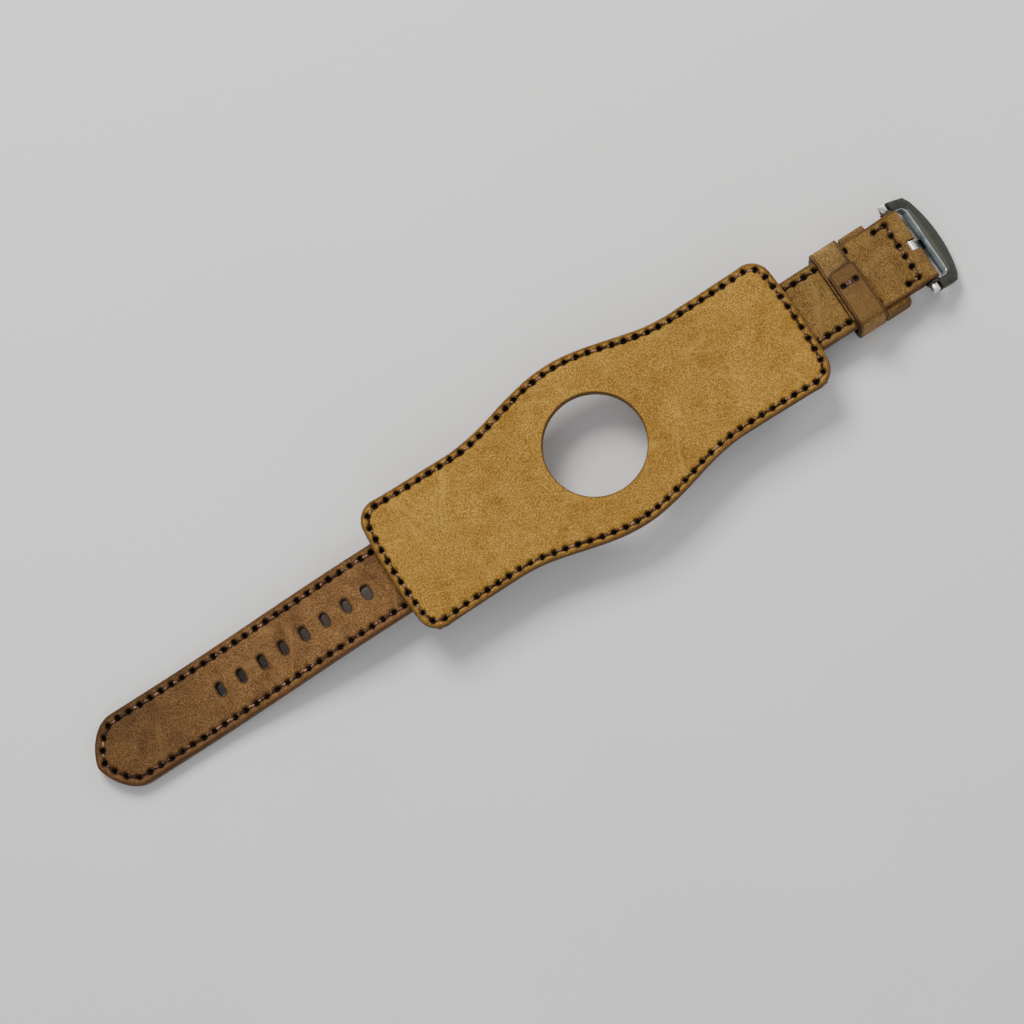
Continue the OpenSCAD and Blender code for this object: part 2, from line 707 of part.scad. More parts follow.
module buckle_frame() {
    notch_w = tang_w + 0.4;
    notch_t = 0.5;
    bevel = 0.45;
    half_t = frame_t / 2;
    placed() color("dimgray")
        on_bar(frame_hang)
            difference() {
                union() {
                    frame_plate();
                    for (side = [0, 1])
                        mirror([0, side, 0]) {
                            bar_y(ear_r, ear_in, ear_out);
                            translate([0, ear_in, -half_t]) cube([arm_start + 0.5, ear_t, frame_t]);
                        }
                }
                bar_y(screw_r + running_fit / 2, -arm_out - cut, arm_out + cut);
                translate([bow_inner - cut, -notch_w / 2, -half_t - cut])
                    cube([tang_reach + 0.4 - bow_inner + cut, notch_w, cut + notch_t]);
                across([[bow_inner - 0.01, half_t - bevel], [bow_inner + bevel, half_t + 0.01],
                        [bow_inner - 0.01, half_t + 0.01]], 2 * (ear_in - inner_corner) - 0.8);
            }
}

module buckle_tang() {
    half = tang_w / 2 - 0.05;
    point = half * 0.6;
    placed() color("silver")
        on_bar(tang_hang)
            difference() {
                union() {
                    bar_y(ring_r, -tang_w / 2, tang_w / 2);
                    translate([0, 0, -tang_t / 2])
                        linear_extrude(tang_t)
                            polygon(rounded([[0, -half, 0], [bow_inner - 1, -half, 1],
                                             [tang_reach, -point, 0.5], [tang_reach, point, 0.5],
                                             [bow_inner - 1, half, 1], [0, half, 0]]));
                }
                bar_y(bar_hole_r, -tang_w, tang_w);
            }
}

module buckle_bar_tube() {
    placed() color("silver")
        on_bar(frame_hang)
            difference() {
                bar_y(bar_tube_r, -ear_in + running_fit, ear_in - running_fit);
                bar_y(screw_r + seat_gap, -ear_in, ear_in);
            }
}

module buckle_bar_screws() {
    slot = 0.4;
    placed() color("gainsboro")
        on_bar(frame_hang)
            for (side = [0, 1])
                mirror([0, side, 0])
                    difference() {
                        union() {
                            bar_y(screw_r, ear_in / 2, ear_out + 0.2);
                            bar_y(head_r, ear_out + seat_gap, ear_out + head_len);
                        }
                        translate([-head_r - cut, ear_out + head_len - slot, -slot / 2])
                            cube([2 * head_r + 2 * cut, slot + cut, slot]);
                    }
}

pad_lining();
pad_front();
pad_bridge_tail();
pad_bridge_buckle();
pad_thread();
tail_front_leather();
tail_lining();
tail_thread();
tail_bar_tube();
tail_bar_spring();
tail_bar_tip_left();
tail_bar_tip_right();
buckle_front_leather();
buckle_lining();
buckle_thread();
buckle_side_bar_tube();
buckle_side_bar_spring();
buckle_side_bar_tip_left();
buckle_side_bar_tip_right();
fixed_keeper();
free_keeper();
free_keeper_stitch();
buckle_frame();
buckle_tang();
buckle_bar_tube();
buckle_bar_screws();
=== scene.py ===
"""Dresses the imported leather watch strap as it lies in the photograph, skin side up on a pale table.

Sizes are in millimetres from the middle of the wrist pad until a mesh is made, which puts them in
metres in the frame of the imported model. X runs from the tail to the buckle and Z is up.
"""

import logging
import math
from dataclasses import dataclass
from enum import Enum
from functools import cache, reduce
from typing import Any, Optional, Sequence

import bmesh
import bpy
import numpy as np
from bpy.types import Material, Mesh, Node, NodeSocket, NodeTree, Object as Piece
from mathutils import Matrix


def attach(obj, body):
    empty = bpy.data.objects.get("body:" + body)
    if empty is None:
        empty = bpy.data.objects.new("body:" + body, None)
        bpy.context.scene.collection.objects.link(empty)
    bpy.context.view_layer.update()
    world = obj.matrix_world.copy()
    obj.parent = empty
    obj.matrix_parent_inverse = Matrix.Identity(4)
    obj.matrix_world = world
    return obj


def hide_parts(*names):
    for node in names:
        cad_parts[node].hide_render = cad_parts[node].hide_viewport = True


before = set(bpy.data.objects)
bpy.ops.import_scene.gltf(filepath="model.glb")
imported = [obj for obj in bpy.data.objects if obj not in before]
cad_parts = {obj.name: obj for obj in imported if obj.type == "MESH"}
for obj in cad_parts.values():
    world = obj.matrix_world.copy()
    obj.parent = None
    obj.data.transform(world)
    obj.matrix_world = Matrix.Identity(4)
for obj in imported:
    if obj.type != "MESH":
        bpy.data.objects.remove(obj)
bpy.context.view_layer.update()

MM = 0.001
PAD_MIDDLE_X = 22.65488
HARD_EDGE = 50.0
LOG = logging.getLogger("strap")

Array = np.ndarray
Colour = tuple[float, float, float]
Field = Any  # an Array over a mesh, or a Signal over a finish


@dataclass(frozen=True)
class Levels:
    """Heights of the strap's faces above the table and the places that its pieces share."""

    strap_low: float = 5.86
    front_mid: float = 6.735
    strap_mid: float = 7.61
    lining_mid: float = 8.485
    strap_top: float = 9.36
    pad_low: float = 9.73
    pad_mid: float = 11.23
    pad_top: float = 12.73
    strap_half: float = 9.9
    bar_x: float = 92.0
    lug_x: float = 21.0
    lug_z: float = 7.16
    pitch: float = 3.1


AT = Levels()


def smooth(low: float, high: float, value: Array) -> Array:
    """Smooth step from 0 at low to 1 at high.

    Args:
        low: Value at which the step starts.
        high: Value at which the step ends.
        value: Values to be stepped.

    Returns:
        Three times the square of the share less twice its cube.
    """
    share = np.clip((value - low) / (high - low), 0.0, 1.0)
    return share * share * (3.0 - 2.0 * share)


def waves(x: Array, y: Array, seed: int, size: float) -> Array:
    """Gentle uneven swell over a surface.

    The height is a sum of nine sine waves whose directions, lengths and phases are drawn from the
    seed, over one and a half times the root of nine.

    Args:
        x: First coordinate of each point.
        y: Second coordinate of each point.
        seed: Seed of the draw.
        size: Typical length of a wave.

    Returns:
        Heights between about -1 and 1.
    """
    draw, count = np.random.default_rng(seed), 9
    total = np.zeros_like(x, dtype=float)
    turns = draw.uniform(0, math.tau, count)
    spans = draw.uniform(0.6, 1.6, count) * size
    phases = draw.uniform(0, math.tau, count)
    for turn, span, phase in zip(turns, spans, phases):
        total += np.sin(math.tau * (x * math.cos(turn) + y * math.sin(turn)) / span + phase)
    return total / math.sqrt(count) / 1.5


@dataclass(frozen=True)
class Swell:
    """Gentle uneven swell of a leather's face, which fades out towards its edge; sizes in mm."""

    seed: int
    height: float
    size: float
    fade: float = 2.5

    def uneven(self, grid: Array) -> Array:
        """Heights of the waves at a grid of points."""
        return self.height * waves(grid[..., 0], grid[..., 1], self.seed, self.size)

    def over(self, grid: Array, distance: Array) -> Array:
        """Heights at a grid of points, faded out by a smooth step of each ring's distance."""
        return self.uneven(grid) * smooth(0.0, self.fade, distance)[:, None]


def lengths(points: Array) -> Array:
    """Running length at each point of a polyline."""
    return np.concatenate([[0.0], np.cumsum(np.linalg.norm(np.diff(points, axis=0), axis=1))])


def resampled(points: Array, count: int) -> Array:
    """Evenly spaced points on an open polyline.

    Args:
        points: Corners of the polyline, one row each.
        count: Number of points wanted, both ends among them.

    Returns:
        Points at equal steps of running length.
    """
    run = lengths(points)
    at = np.linspace(0.0, run[-1], count)
    return np.stack([np.interp(at, run, points[:, k]) for k in range(points.shape[1])], axis=1)


def stepped(points: Array, step: float) -> Array:
    """Evenly spaced points on an open polyline, about a step apart."""
    return resampled(points, int(lengths(points)[-1] / step) + 2)


def arc(centre: Sequence[float], radius: float, start: float, end: float, steps: int) -> Array:
    """Points on a circle from one angle to another, in degrees."""
    angle = np.radians(np.linspace(start, end, steps + 1))
    return np.array(centre) + radius * np.stack([np.cos(angle), np.sin(angle)], axis=1)


def softened(points: Array, step: float, reach: int) -> Array:
    """Evenly spaced polyline with its corners eased by a moving mean, its ends kept.

    Args:
        points: Corners of the polyline.
        step: Distance between the new points.
        reach: Number of neighbours on each side in the mean.

    Returns:
        The eased points.
    """
    fine = stepped(points, step)
    first = 2 * fine[0] - fine[reach:0:-1]
    last = 2 * fine[-1] - fine[-2 : -reach - 2 : -1]
    padded = np.concatenate([first, fine, last])
    mean = np.ones(2 * reach + 1) / (2 * reach + 1)
    return np.stack([np.convolve(padded[:, k], mean, mode="valid") for k in range(2)], axis=1)


class Plane(Enum):
    """Plane in which a strip of leather is bent."""

    ALONG = "along"
    ACROSS = "across"


@dataclass
class Route:
    """A bent path for a flat strip: its places and its normals at each running length."""

    points: Array
    plane: Plane
    middle: float = 0.0

    def bend(self, flat: Array) -> Array:
        """Lays flat points on the path.

        The first coordinate is the running length, the second goes across the path's plane and the
        third out along the path's normal, which is its heading turned left.

        Args:
            flat: Points of the flat strip, with three values each.

        Returns:
            The same points on the path.
        """
        run = lengths(self.points)
        heading = np.gradient(self.points, axis=0)
        heading /= np.linalg.norm(heading, axis=1, keepdims=True)
        at = np.clip(flat[..., 0], 0.0, run[-1])
        beyond = flat[..., 0] - at
        place = [np.interp(at, run, self.points[:, k]) for k in range(2)]
        ahead = [np.interp(at, run, heading[:, k]) for k in range(2)]
        first = place[0] - ahead[1] * flat[..., 2] + ahead[0] * beyond
        second = place[1] + ahead[0] * flat[..., 2] + ahead[1] * beyond
        if self.plane is Plane.ALONG:
            return np.stack([first, flat[..., 1], second], axis=-1)
        return np.stack([self.middle - flat[..., 1], first, second], axis=-1)


@dataclass
class Plan:
    """Plan of a flat piece, with one column of points for each station round its outline."""

    outline: Array
    inward: Array
    hub: Array
    radial: Array
    margin: float
    seam_inset: float
    stitches: int

    @classmethod
    def round_hub(cls, outline: Array, radius: float, margin: float, *seam: float) -> "Plan":
        """Plan of a piece with a round opening at its middle.

        Args:
            outline: Closed outline, counterclockwise.
            radius: Radius of the opening.
            margin: Width of the band whose rings follow the edge.
            *seam: Its distance from the edge and its number of stitches.

        Returns:
            The plan, whose rings end on the opening.
        """
        normal = cls.normals(outline)
        inner = outline - normal * margin
        radial = inner / np.linalg.norm(inner, axis=1, keepdims=True)
        return cls(outline, -normal, radial * radius, radial, margin, *seam)

    @classmethod
    def spine_hub(
        cls, outline: Array, low_x: float, high_x: float, margin: float, *seam: float
    ) -> "Plan":
        """Plan of a piece whose rings close on a line along its middle.

        Args:
            outline: Closed outline, counterclockwise and even about the X axis.
            low_x: First end of the middle line.
            high_x: Last end of the middle line.
            margin: Width of the band whose rings follow the edge.
            *seam: Its distance from the edge and its number of stitches.

        Returns:
            The plan, whose rings end on the middle line.
        """
        hub = np.stack([np.clip(outline[:, 0], low_x, high_x), np.zeros(len(outline))], axis=1)
        ray = hub - outline
        ray /= np.linalg.norm(ray, axis=1, keepdims=True)
        facing = np.maximum(0.55, -np.sum(ray * cls.normals(outline), axis=1, keepdims=True))
        return cls(outline, ray / facing, hub, np.zeros_like(hub), margin, *seam)

    @staticmethod
    def normals(outline: Array) -> Array:
        """Outward normals of a closed counterclockwise outline."""
        step = np.roll(outline, -1, axis=0) - np.roll(outline, 1, axis=0)
        step /= np.linalg.norm(step, axis=1, keepdims=True)
        return np.stack([step[:, 1], -step[:, 0]], axis=1)

    def seam_line(self) -> Array:
        """Closed line of the seam, its first point repeated at the end."""
        line = self.outline + self.inward * self.seam_inset
        return np.concatenate([line, line[:1]])

    def phase(self) -> Array:
        """Running count of stitches at each column, with the whole count at the end."""
        run = lengths(self.seam_line())
        return run / run[-1] * self.stitches

    def holes(self) -> Array:
        """Places of the awl holes, which stand at whole counts of the phase; the first is repeated."""
        line, phase = self.seam_line(), self.phase()
        at = np.arange(self.stitches + 1)
        return np.stack([np.interp(at, phase, line[:, k]) for k in range(2)], axis=1)


def strip_outline(
    low_x: float, high_x: float, half: float, low_r: float, high_r: float, step: float
) -> Array:
    """Closed outline of a straight strip with rounded corners, even about the X axis.

    Args:
        low_x: Station of the first end.
        high_x: Station of the last end.
        half: Half of the width.
        low_r: Corner radius at the first end.
        high_r: Corner radius at the last end.
        step: Distance between the points.

    Returns:
        The outline, counterclockwise from the middle of the last end.
    """
    upper = np.concatenate([
        [[high_x, 0.0]],
        arc((high_x - high_r, half - high_r), high_r, 0, 90, 8),
        arc((low_x + low_r, half - low_r), low_r, 90, 180, 8),
        [[low_x, 0.0]],
    ])
    return mirrored(stepped(upper, step))


def mirrored(upper: Array) -> Array:
    """Closed outline from its upper half, which starts and ends on the X axis."""
    lower = upper[-2:0:-1] * [1.0, -1.0]
    return np.concatenate([upper, lower])


def rounded(radius: float, turn: float) -> tuple[float, float]:
    """How far a quarter circle has gone in and down at an angle from the face it starts on."""
    return radius * (1 - math.sin(turn)), radius * (1 - math.cos(turn))


@dataclass
class Edge:
    """How the cut edge of a piece is rounded, in mm."""

    upper: float = 0.3
    lower: float = 0.08
    bulge: float = 0.0
    opening: float = 0.0


@dataclass
class Slab:
    """A flat piece with two faces and a rounded edge, made of rings that run round its plan.

    A point is the mean of a place by the hub and a place by the outline, weighted by the ring's
    share; the place by the outline is the outline moved in by the ring's inset.
    """

    plan: Plan
    low: float
    high: float
    edge: Edge
    face_steps: int = 12
    margin_step: float = 0.25
    fine_under: bool = False

    def rings(self) -> Array:
        """Share, hub offset, inset, height, depth below the upper face and face flag of each ring.

        The rings run over the upper face, round its edge, down the wall, whose bulge is a half sine,
        round the lower edge and back under the lower face.

        Returns:
            One row for each ring.
        """
        plan, edge = self.plan, self.edge
        top, bottom = self.high - edge.upper, self.low + edge.lower
        turn = np.radians(np.linspace(0, 90, 6))
        count = max(3, int((plan.margin - edge.upper) / self.margin_step))
        margins = np.linspace(plan.margin, edge.upper, count)
        rows: list[tuple[float, ...]] = []
        if edge.opening > 0:
            for a in turn[::-1]:
                aside, fall = rounded(edge.opening, a)
                rows.append((0, aside, plan.margin, self.high - fall, 0, 1))
        for share in np.linspace(0, 1, self.face_steps + 1)[int(edge.opening > 0) : -1]:
            rows.append((share, edge.opening, plan.margin, self.high, 0, 1))
        rows += [(1, 0, inset, self.high, 0, 1) for inset in margins]
        for a in turn[1:]:
            aside, fall = rounded(edge.upper, a)
            rows.append((1, 0, aside, self.high - fall, 0.01, 1))
        for t in np.linspace(0, 1, 7)[1:]:
            bulge, level = edge.bulge * math.sin(math.pi * t), top + (bottom - top) * t
            rows.append((1, 0, -bulge, level, self.high - top + (top - bottom) * t, 0))
        for a in turn[4::-1]:
            aside, fall = rounded(edge.lower, a)
            rows.append((1, 0, aside, self.low + fall, self.high - self.low, 0))
        under = margins[::-1][1:] if self.fine_under else margins[::-4][1:]
        rows += [(1, 0, inset, self.low, 0, -1) for inset in under]
        under_steps = self.face_steps if self.fine_under else max(2, self.face_steps // 3)
        shares = np.linspace(1, 0, under_steps + 1)[1:]
        rows += [(share, 0, plan.margin, self.low, 0, -1) for share in shares]
        return np.array(rows)

    def grid(self) -> tuple[Array, Array, Array]:
        """Points of the rings, with the UV's distance from the edge and the face flag of each ring.

        Returns:
            Points as rings by columns by 3, the distance from the edge, and the flags.
        """
        share, offset, inset, height, depth, flag = self.rings().T
        plan = self.plan
        by_edge = plan.outline[None] + plan.inward[None] * inset[:, None, None]
        by_hub = plan.hub[None] + plan.radial[None] * offset[:, None, None]
        flat = by_hub + (by_edge - by_hub) * share[:, None, None]
        tall = np.broadcast_to(height[:, None, None], (*flat.shape[:2], 1))
        reach = np.linalg.norm(plan.hub - (plan.outline + plan.inward * plan.margin), axis=1).mean()
        distance = np.where(flag == 0, -depth, inset + (1 - share) * reach)
        return np.concatenate([flat, tall], axis=2), distance, flag


@dataclass
class SeamRelief:
    """The groove that a seam presses into leather and the pits of its awl holes, in mm."""

    groove: float = 0.16
    groove_w: float = 0.8
    pit: float = 0.95
    pit_r: float = 0.76

    def pressed(self, ring: Array, line: Array) -> Array:
        """Depth at a distance from the nearest hole and from the seam's line: two bells."""
        groove = self.groove * np.exp(-((line / self.groove_w) ** 2))
        return groove + self.pit * np.exp(-((ring / self.pit_r) ** 3))

    def depth(self, plan: Plan, distance: Array, skip: Optional[Array] = None) -> Array:
        """How deep the face is pressed at each point.

        A bell across the seam gives the groove; a bell round the nearest whole phase gives the pit.

        Args:
            plan: Plan that holds the seam.
            distance: Distance from the edge of each ring.
            skip: Share of the relief that is left out at each column.

        Returns:
            Depths, as rings by columns.
        """
        phase = plan.phase()[:-1]
        along = (phase - np.round(phase)) * AT.pitch
        aside = distance[:, None] - plan.seam_inset
        keep = 1.0 if skip is None else (1.0 - skip)[None]
        return self.pressed(np.hypot(aside, along[None]), aside) * keep


def in_metres(points: Array) -> Array:
    """Points in mm from the middle of the pad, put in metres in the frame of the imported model."""
    placed = points.reshape(-1, 3) * MM
    placed[:, 0] += PAD_MIDDLE_X * MM
    return placed


def linked(name: str, data: Any) -> Piece:
    """A new object with its mesh, light or camera, put in the scene."""
    made = bpy.data.objects.new(name, data)
    bpy.context.scene.collection.objects.link(made)
    return made


class MeshMaker:
    """Makes Blender meshes from grids of points in mm from the middle of the pad."""

    @staticmethod
    def faces(rows: int, cols: int, wrap_rows: bool, wrap_cols: bool) -> Array:
        """Quads of a grid, each as four indices that run outwards and then round.

        Args:
            rows: Number of rows.
            cols: Number of columns.
            wrap_rows: Whether the last row joins the first.
            wrap_cols: Whether the last column joins the first.

        Returns:
            The quads, one row each.
        """
        r = np.arange(rows if wrap_rows else rows - 1)
        c = np.arange(cols if wrap_cols else cols - 1)
        r, c = (a.ravel() for a in np.meshgrid(r, c, indexing="ij"))
        up, on = (r + 1) % rows, (c + 1) % cols
        return np.stack([r * cols + c, up * cols + c, up * cols + on, r * cols + on], axis=1)

    @classmethod
    def from_grid(
        cls,
        name: str,
        grid: Array,
        uv: Optional[tuple[Array, Array]] = None,
        wrap_rows: bool = False,
        wrap_cols: bool = True,
        flip: bool = False,
        weld: bool = True,
    ) -> Piece:
        """Makes an object from a grid of points.

        Args:
            name: Name of the object.
            grid: Points as rows by columns by 3.
            uv: Value of U at each column, with one more for the wrap, and of V at each row.
            wrap_rows: Whether the last row joins the first.
            wrap_cols: Whether the last column joins the first.
            flip: Whether the faces are turned over.
            weld: Whether points in one place are merged.

        Returns:
            The object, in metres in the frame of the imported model.
        """
        rows, cols = grid.shape[:2]
        quads = cls.faces(rows, cols, wrap_rows, wrap_cols)
        if flip:
            quads = quads[:, ::-1]
        mesh = bpy.data.meshes.new(name)
        mesh.from_pydata(in_metres(grid), [], quads.tolist())
        if uv is not None:
            u, v = uv
            col, row = quads % cols, quads // cols
            last = (col == 0) & (col.max(axis=1, keepdims=True) == cols - 1) & (cols > 2)
            u_at = np.where(last, u[-1], u[col])
            layer = mesh.uv_layers.new(name="seam")
            layer.data.foreach_set("uv", np.stack([u_at, v[row]], axis=2).astype(np.float32).ravel())
        return cls.finished(name, mesh, weld)

    @staticmethod
    def finished(name: str, mesh: Mesh, weld: bool = True) -> Piece:
        """Merges doubles, shades smooth with hard edges kept, and links the object.

        Args:
            name: Name of the object.
            mesh: Its mesh.
            weld: Whether points in one place are merged.

        Returns:
            The object.
        """
        if weld:
            work = bmesh.new()
            work.from_mesh(mesh)
            bmesh.ops.remove_doubles(work, verts=work.verts, dist=0.5e-6)
            bmesh.ops.dissolve_degenerate(work, edges=work.edges, dist=1e-8)
            work.to_mesh(mesh)
            work.free()
        mesh.polygons.foreach_set("use_smooth", np.ones(len(mesh.polygons), dtype=bool))
        mesh.set_sharp_from_angle(angle=math.radians(HARD_EDGE))
        mesh.update()
        return linked(name, mesh)

    @classmethod
    def prism(cls, name: str, profile: Array, low: float, high: float, plane: Plane) -> Piece:
        """A cutter: a profile drawn out across the strap, or along Z for a plan.

        Args:
            name: Name of the cutter.
            profile: Closed profile, counterclockwise.
            low: First station of the drawing.
            high: Last station of the drawing.
            plane: ALONG for a profile in X and Z, ACROSS for a plan in X and Y.

        Returns:
            The cutter's object.
        """
        column = 1 if plane is Plane.ALONG else 2
        points = np.concatenate([np.insert(profile, column, at, axis=1) for at in (low, high)])
        ring = np.arange(len(profile))
        on, over = np.roll(ring, -1), ring + len(profile)
        walls = np.stack([ring, on, np.roll(over, -1), over], axis=1)
        mesh = bpy.data.meshes.new(name)
        mesh.from_pydata(in_metres(points), [], [*walls.tolist(), ring[::-1].tolist(), over.tolist()])
        cls.turn_out(mesh)
        return linked(name, mesh)

    @staticmethod
    def cut(piece: Piece, cutters: Sequence[Piece]) -> None:
        """Takes cutters out of a piece for good and removes them.

        Args:
            piece: The piece.
            cutters: The closed shapes that are taken out of it.
        """
        for cutter in cutters:
            change = piece.modifiers.new("cut", "BOOLEAN")
            change.operation, change.solver, change.object = "DIFFERENCE", "EXACT", cutter
        graph = bpy.context.evaluated_depsgraph_get()
        mesh = bpy.data.meshes.new_from_object(piece.evaluated_get(graph))
        piece.modifiers.clear()
        piece.data = mesh
        for cutter in cutters:
            bpy.data.objects.remove(cutter)

    @staticmethod
    def turn_out(mesh: Mesh) -> None:
        """Turns every face of a closed mesh outwards.

        Args:
            mesh: The mesh.
        """
        work = bmesh.new()
        work.from_mesh(mesh)
        bmesh.ops.recalc_face_normals(work, faces=work.faces)
        work.to_mesh(mesh)
        work.free()

    @staticmethod
    def joined(name: str, pieces: Sequence[Piece]) -> Piece:
        """One object from several, whose faces keep their material indices.

        Args:
            name: Name of the new object.
            pieces: The objects that it takes in, which are removed.

        Returns:
            The new object.
        """
        work = bmesh.new()
        for piece in pieces:
            work.from_mesh(piece.data)
        mesh = bpy.data.meshes.new(name)
        work.to_mesh(mesh)
        work.free()
        for piece in pieces:
            bpy.data.objects.remove(piece)
        return linked(name, mesh)


@dataclass
class Stitching:
    """Short bars of waxed thread, each from one awl hole to the next."""

    width: float = 0.56
    height: float = 0.42
    dip: float = 0.8
    crown: float = 0.12
    slant: float = 0.17
    rows: int = 13
    sides: int = 8

    def grid(self, start: Array, end: Array, up: Array, seed: int) -> Array:
        """Points of every stitch at once.

        The middle line is a straight run from hole to hole, raised by a hump that falls off smoothly
        before each hole, and shifted aside by the slant; round it goes an ellipse that is thinner
        near the holes.

        Args:
            start: Places of the first holes on the face.
            end: Places of the next holes.
            up: Direction out of the face at each stitch.
            seed: Seed of the small differences between stitches.

        Returns:
            Points as stitches by rows by sides by 3.
        """
        draw = np.random.default_rng(seed)
        count = len(start)
        t = np.linspace(-1, 1, self.rows)
        run = end - start
        side = np.cross(up, run)
        side /= np.linalg.norm(side, axis=1, keepdims=True)
        hump = (self.dip + self.crown) * (1 - smooth(0.36, 0.88, np.abs(t))) - self.dip
        lift = hump[None] + draw.normal(0, 0.03, (count, 1)) * (1 - t[None] ** 2)
        drift = -self.slant * t[None] + draw.normal(0, 0.035, (count, 1)) + 0.03 * np.sin(3 * t[None])
        middle = start[:, None] + run[:, None] * (0.5 + 0.5 * t[None, :, None])
        middle = middle + up[:, None] * lift[..., None] + side[:, None] * drift[..., None]
        thin = 1 - 0.25 * np.abs(t) ** 3
        turn = math.tau * np.arange(self.sides) / self.sides
        wide = self.width / 2 * thin[:, None] * np.cos(turn)[None]
        tall = self.height / 2 * thin[:, None] * np.sin(turn)[None]
        return (
            middle[:, :, None]
            + side[:, None, None] * wide[None, ..., None]
            + up[:, None, None] * tall[None, ..., None]
        )

    def build(self, name: str, start: Array, end: Array, up: Array, seed: int) -> Piece:
        """Makes one object of all the stitches, each a closed bar.

        Args:
            name: Name of the object.
            start: Places of the first holes.
            end: Places of the next holes.
            up: Direction out of the face at each stitch.
            seed: Seed of the small differences.

        Returns:
            The object, whose UV runs along and round each stitch.
        """
        grid = self.grid(start, end, up, seed)
        count, rows, sides = grid.shape[:3]
        one = MeshMaker.faces(rows, sides, False, True)[:, ::-1]
        quads = (one[None] + (np.arange(count) * rows * sides)[:, None, None]).reshape(-1, 4)
        first = np.arange(count)[:, None] * rows * sides + np.arange(sides)[None]
        last = first + (rows - 1) * sides
        mesh = bpy.data.meshes.new(name)
        caps = first.tolist() + last[:, ::-1].tolist()
        mesh.from_pydata(in_metres(grid), [], quads.tolist() + caps)
        MeshMaker.turn_out(mesh)
        at = np.zeros(len(mesh.loops), dtype=np.int32)
        mesh.loops.foreach_get("vertex_index", at)
        stitch, within = at // (rows * sides), at % (rows * sides)
        uv = np.stack([stitch + (within // sides) / (rows - 1), (within % sides) / sides], axis=1)
        layer = mesh.uv_layers.new(name="seam")
        layer.data.foreach_set("uv", uv.astype(np.float32).ravel())
        return MeshMaker.finished(name, mesh, weld=False)


class Signal:
    """A value that changes over a surface; ordinary arithmetic on it adds math nodes."""

    def __init__(self, graph: "Graph", socket: NodeSocket) -> None:
        """Takes the graph and the output that gives the value."""
        self.graph, self.socket = graph, socket

    def __add__(self, other: Any) -> "Signal":
        """The sum."""
        return self.graph.math("ADD", self, other)

    def __sub__(self, other: Any) -> "Signal":
        """The difference."""
        return self.graph.math("SUBTRACT", self, other)

    def __rsub__(self, other: Any) -> "Signal":
        """The difference from a number."""
        return self.graph.math("SUBTRACT", other, self)

    def __mul__(self, other: Any) -> "Signal":
        """The product."""
        return self.graph.math("MULTIPLY", self, other)

    def __truediv__(self, other: Any) -> "Signal":
        """The quotient."""
        return self.graph.math("DIVIDE", self, other)

    def __abs__(self) -> "Signal":
        """The size without its sign."""
        return self.graph.math("ABSOLUTE", self)

    def above(self, other: Any) -> "Signal":
        """The larger of two values."""
        return self.graph.math("MAXIMUM", self, other)

    def below(self, other: Any) -> "Signal":
        """The smaller of two values."""
        return self.graph.math("MINIMUM", self, other)


def largest(*values: Field) -> Field:
    """Largest of several values at each point, of the first one's kind."""
    return reduce(Signal.above if isinstance(values[0], Signal) else np.maximum, values)


def smallest(*values: Field) -> Field:
    """Smallest of several values at each point, of the first one's kind."""
    return reduce(Signal.below if isinstance(values[0], Signal) else np.minimum, values)


def nearest(value: Field, last: Optional[int] = None) -> Field:
    """Nearest whole number, kept between 0 and a last one where that is given."""
    whole = value.graph.math("ROUND", value) if isinstance(value, Signal) else np.round(value)
    return whole if last is None else smallest(largest(whole, 0.0), float(last))


def hypot(a: Field, b: Field) -> Field:
    """Root of the sum of two squares."""
    return a.graph.math("SQRT", a * a + b * b) if isinstance(a, Signal) else np.hypot(a, b)


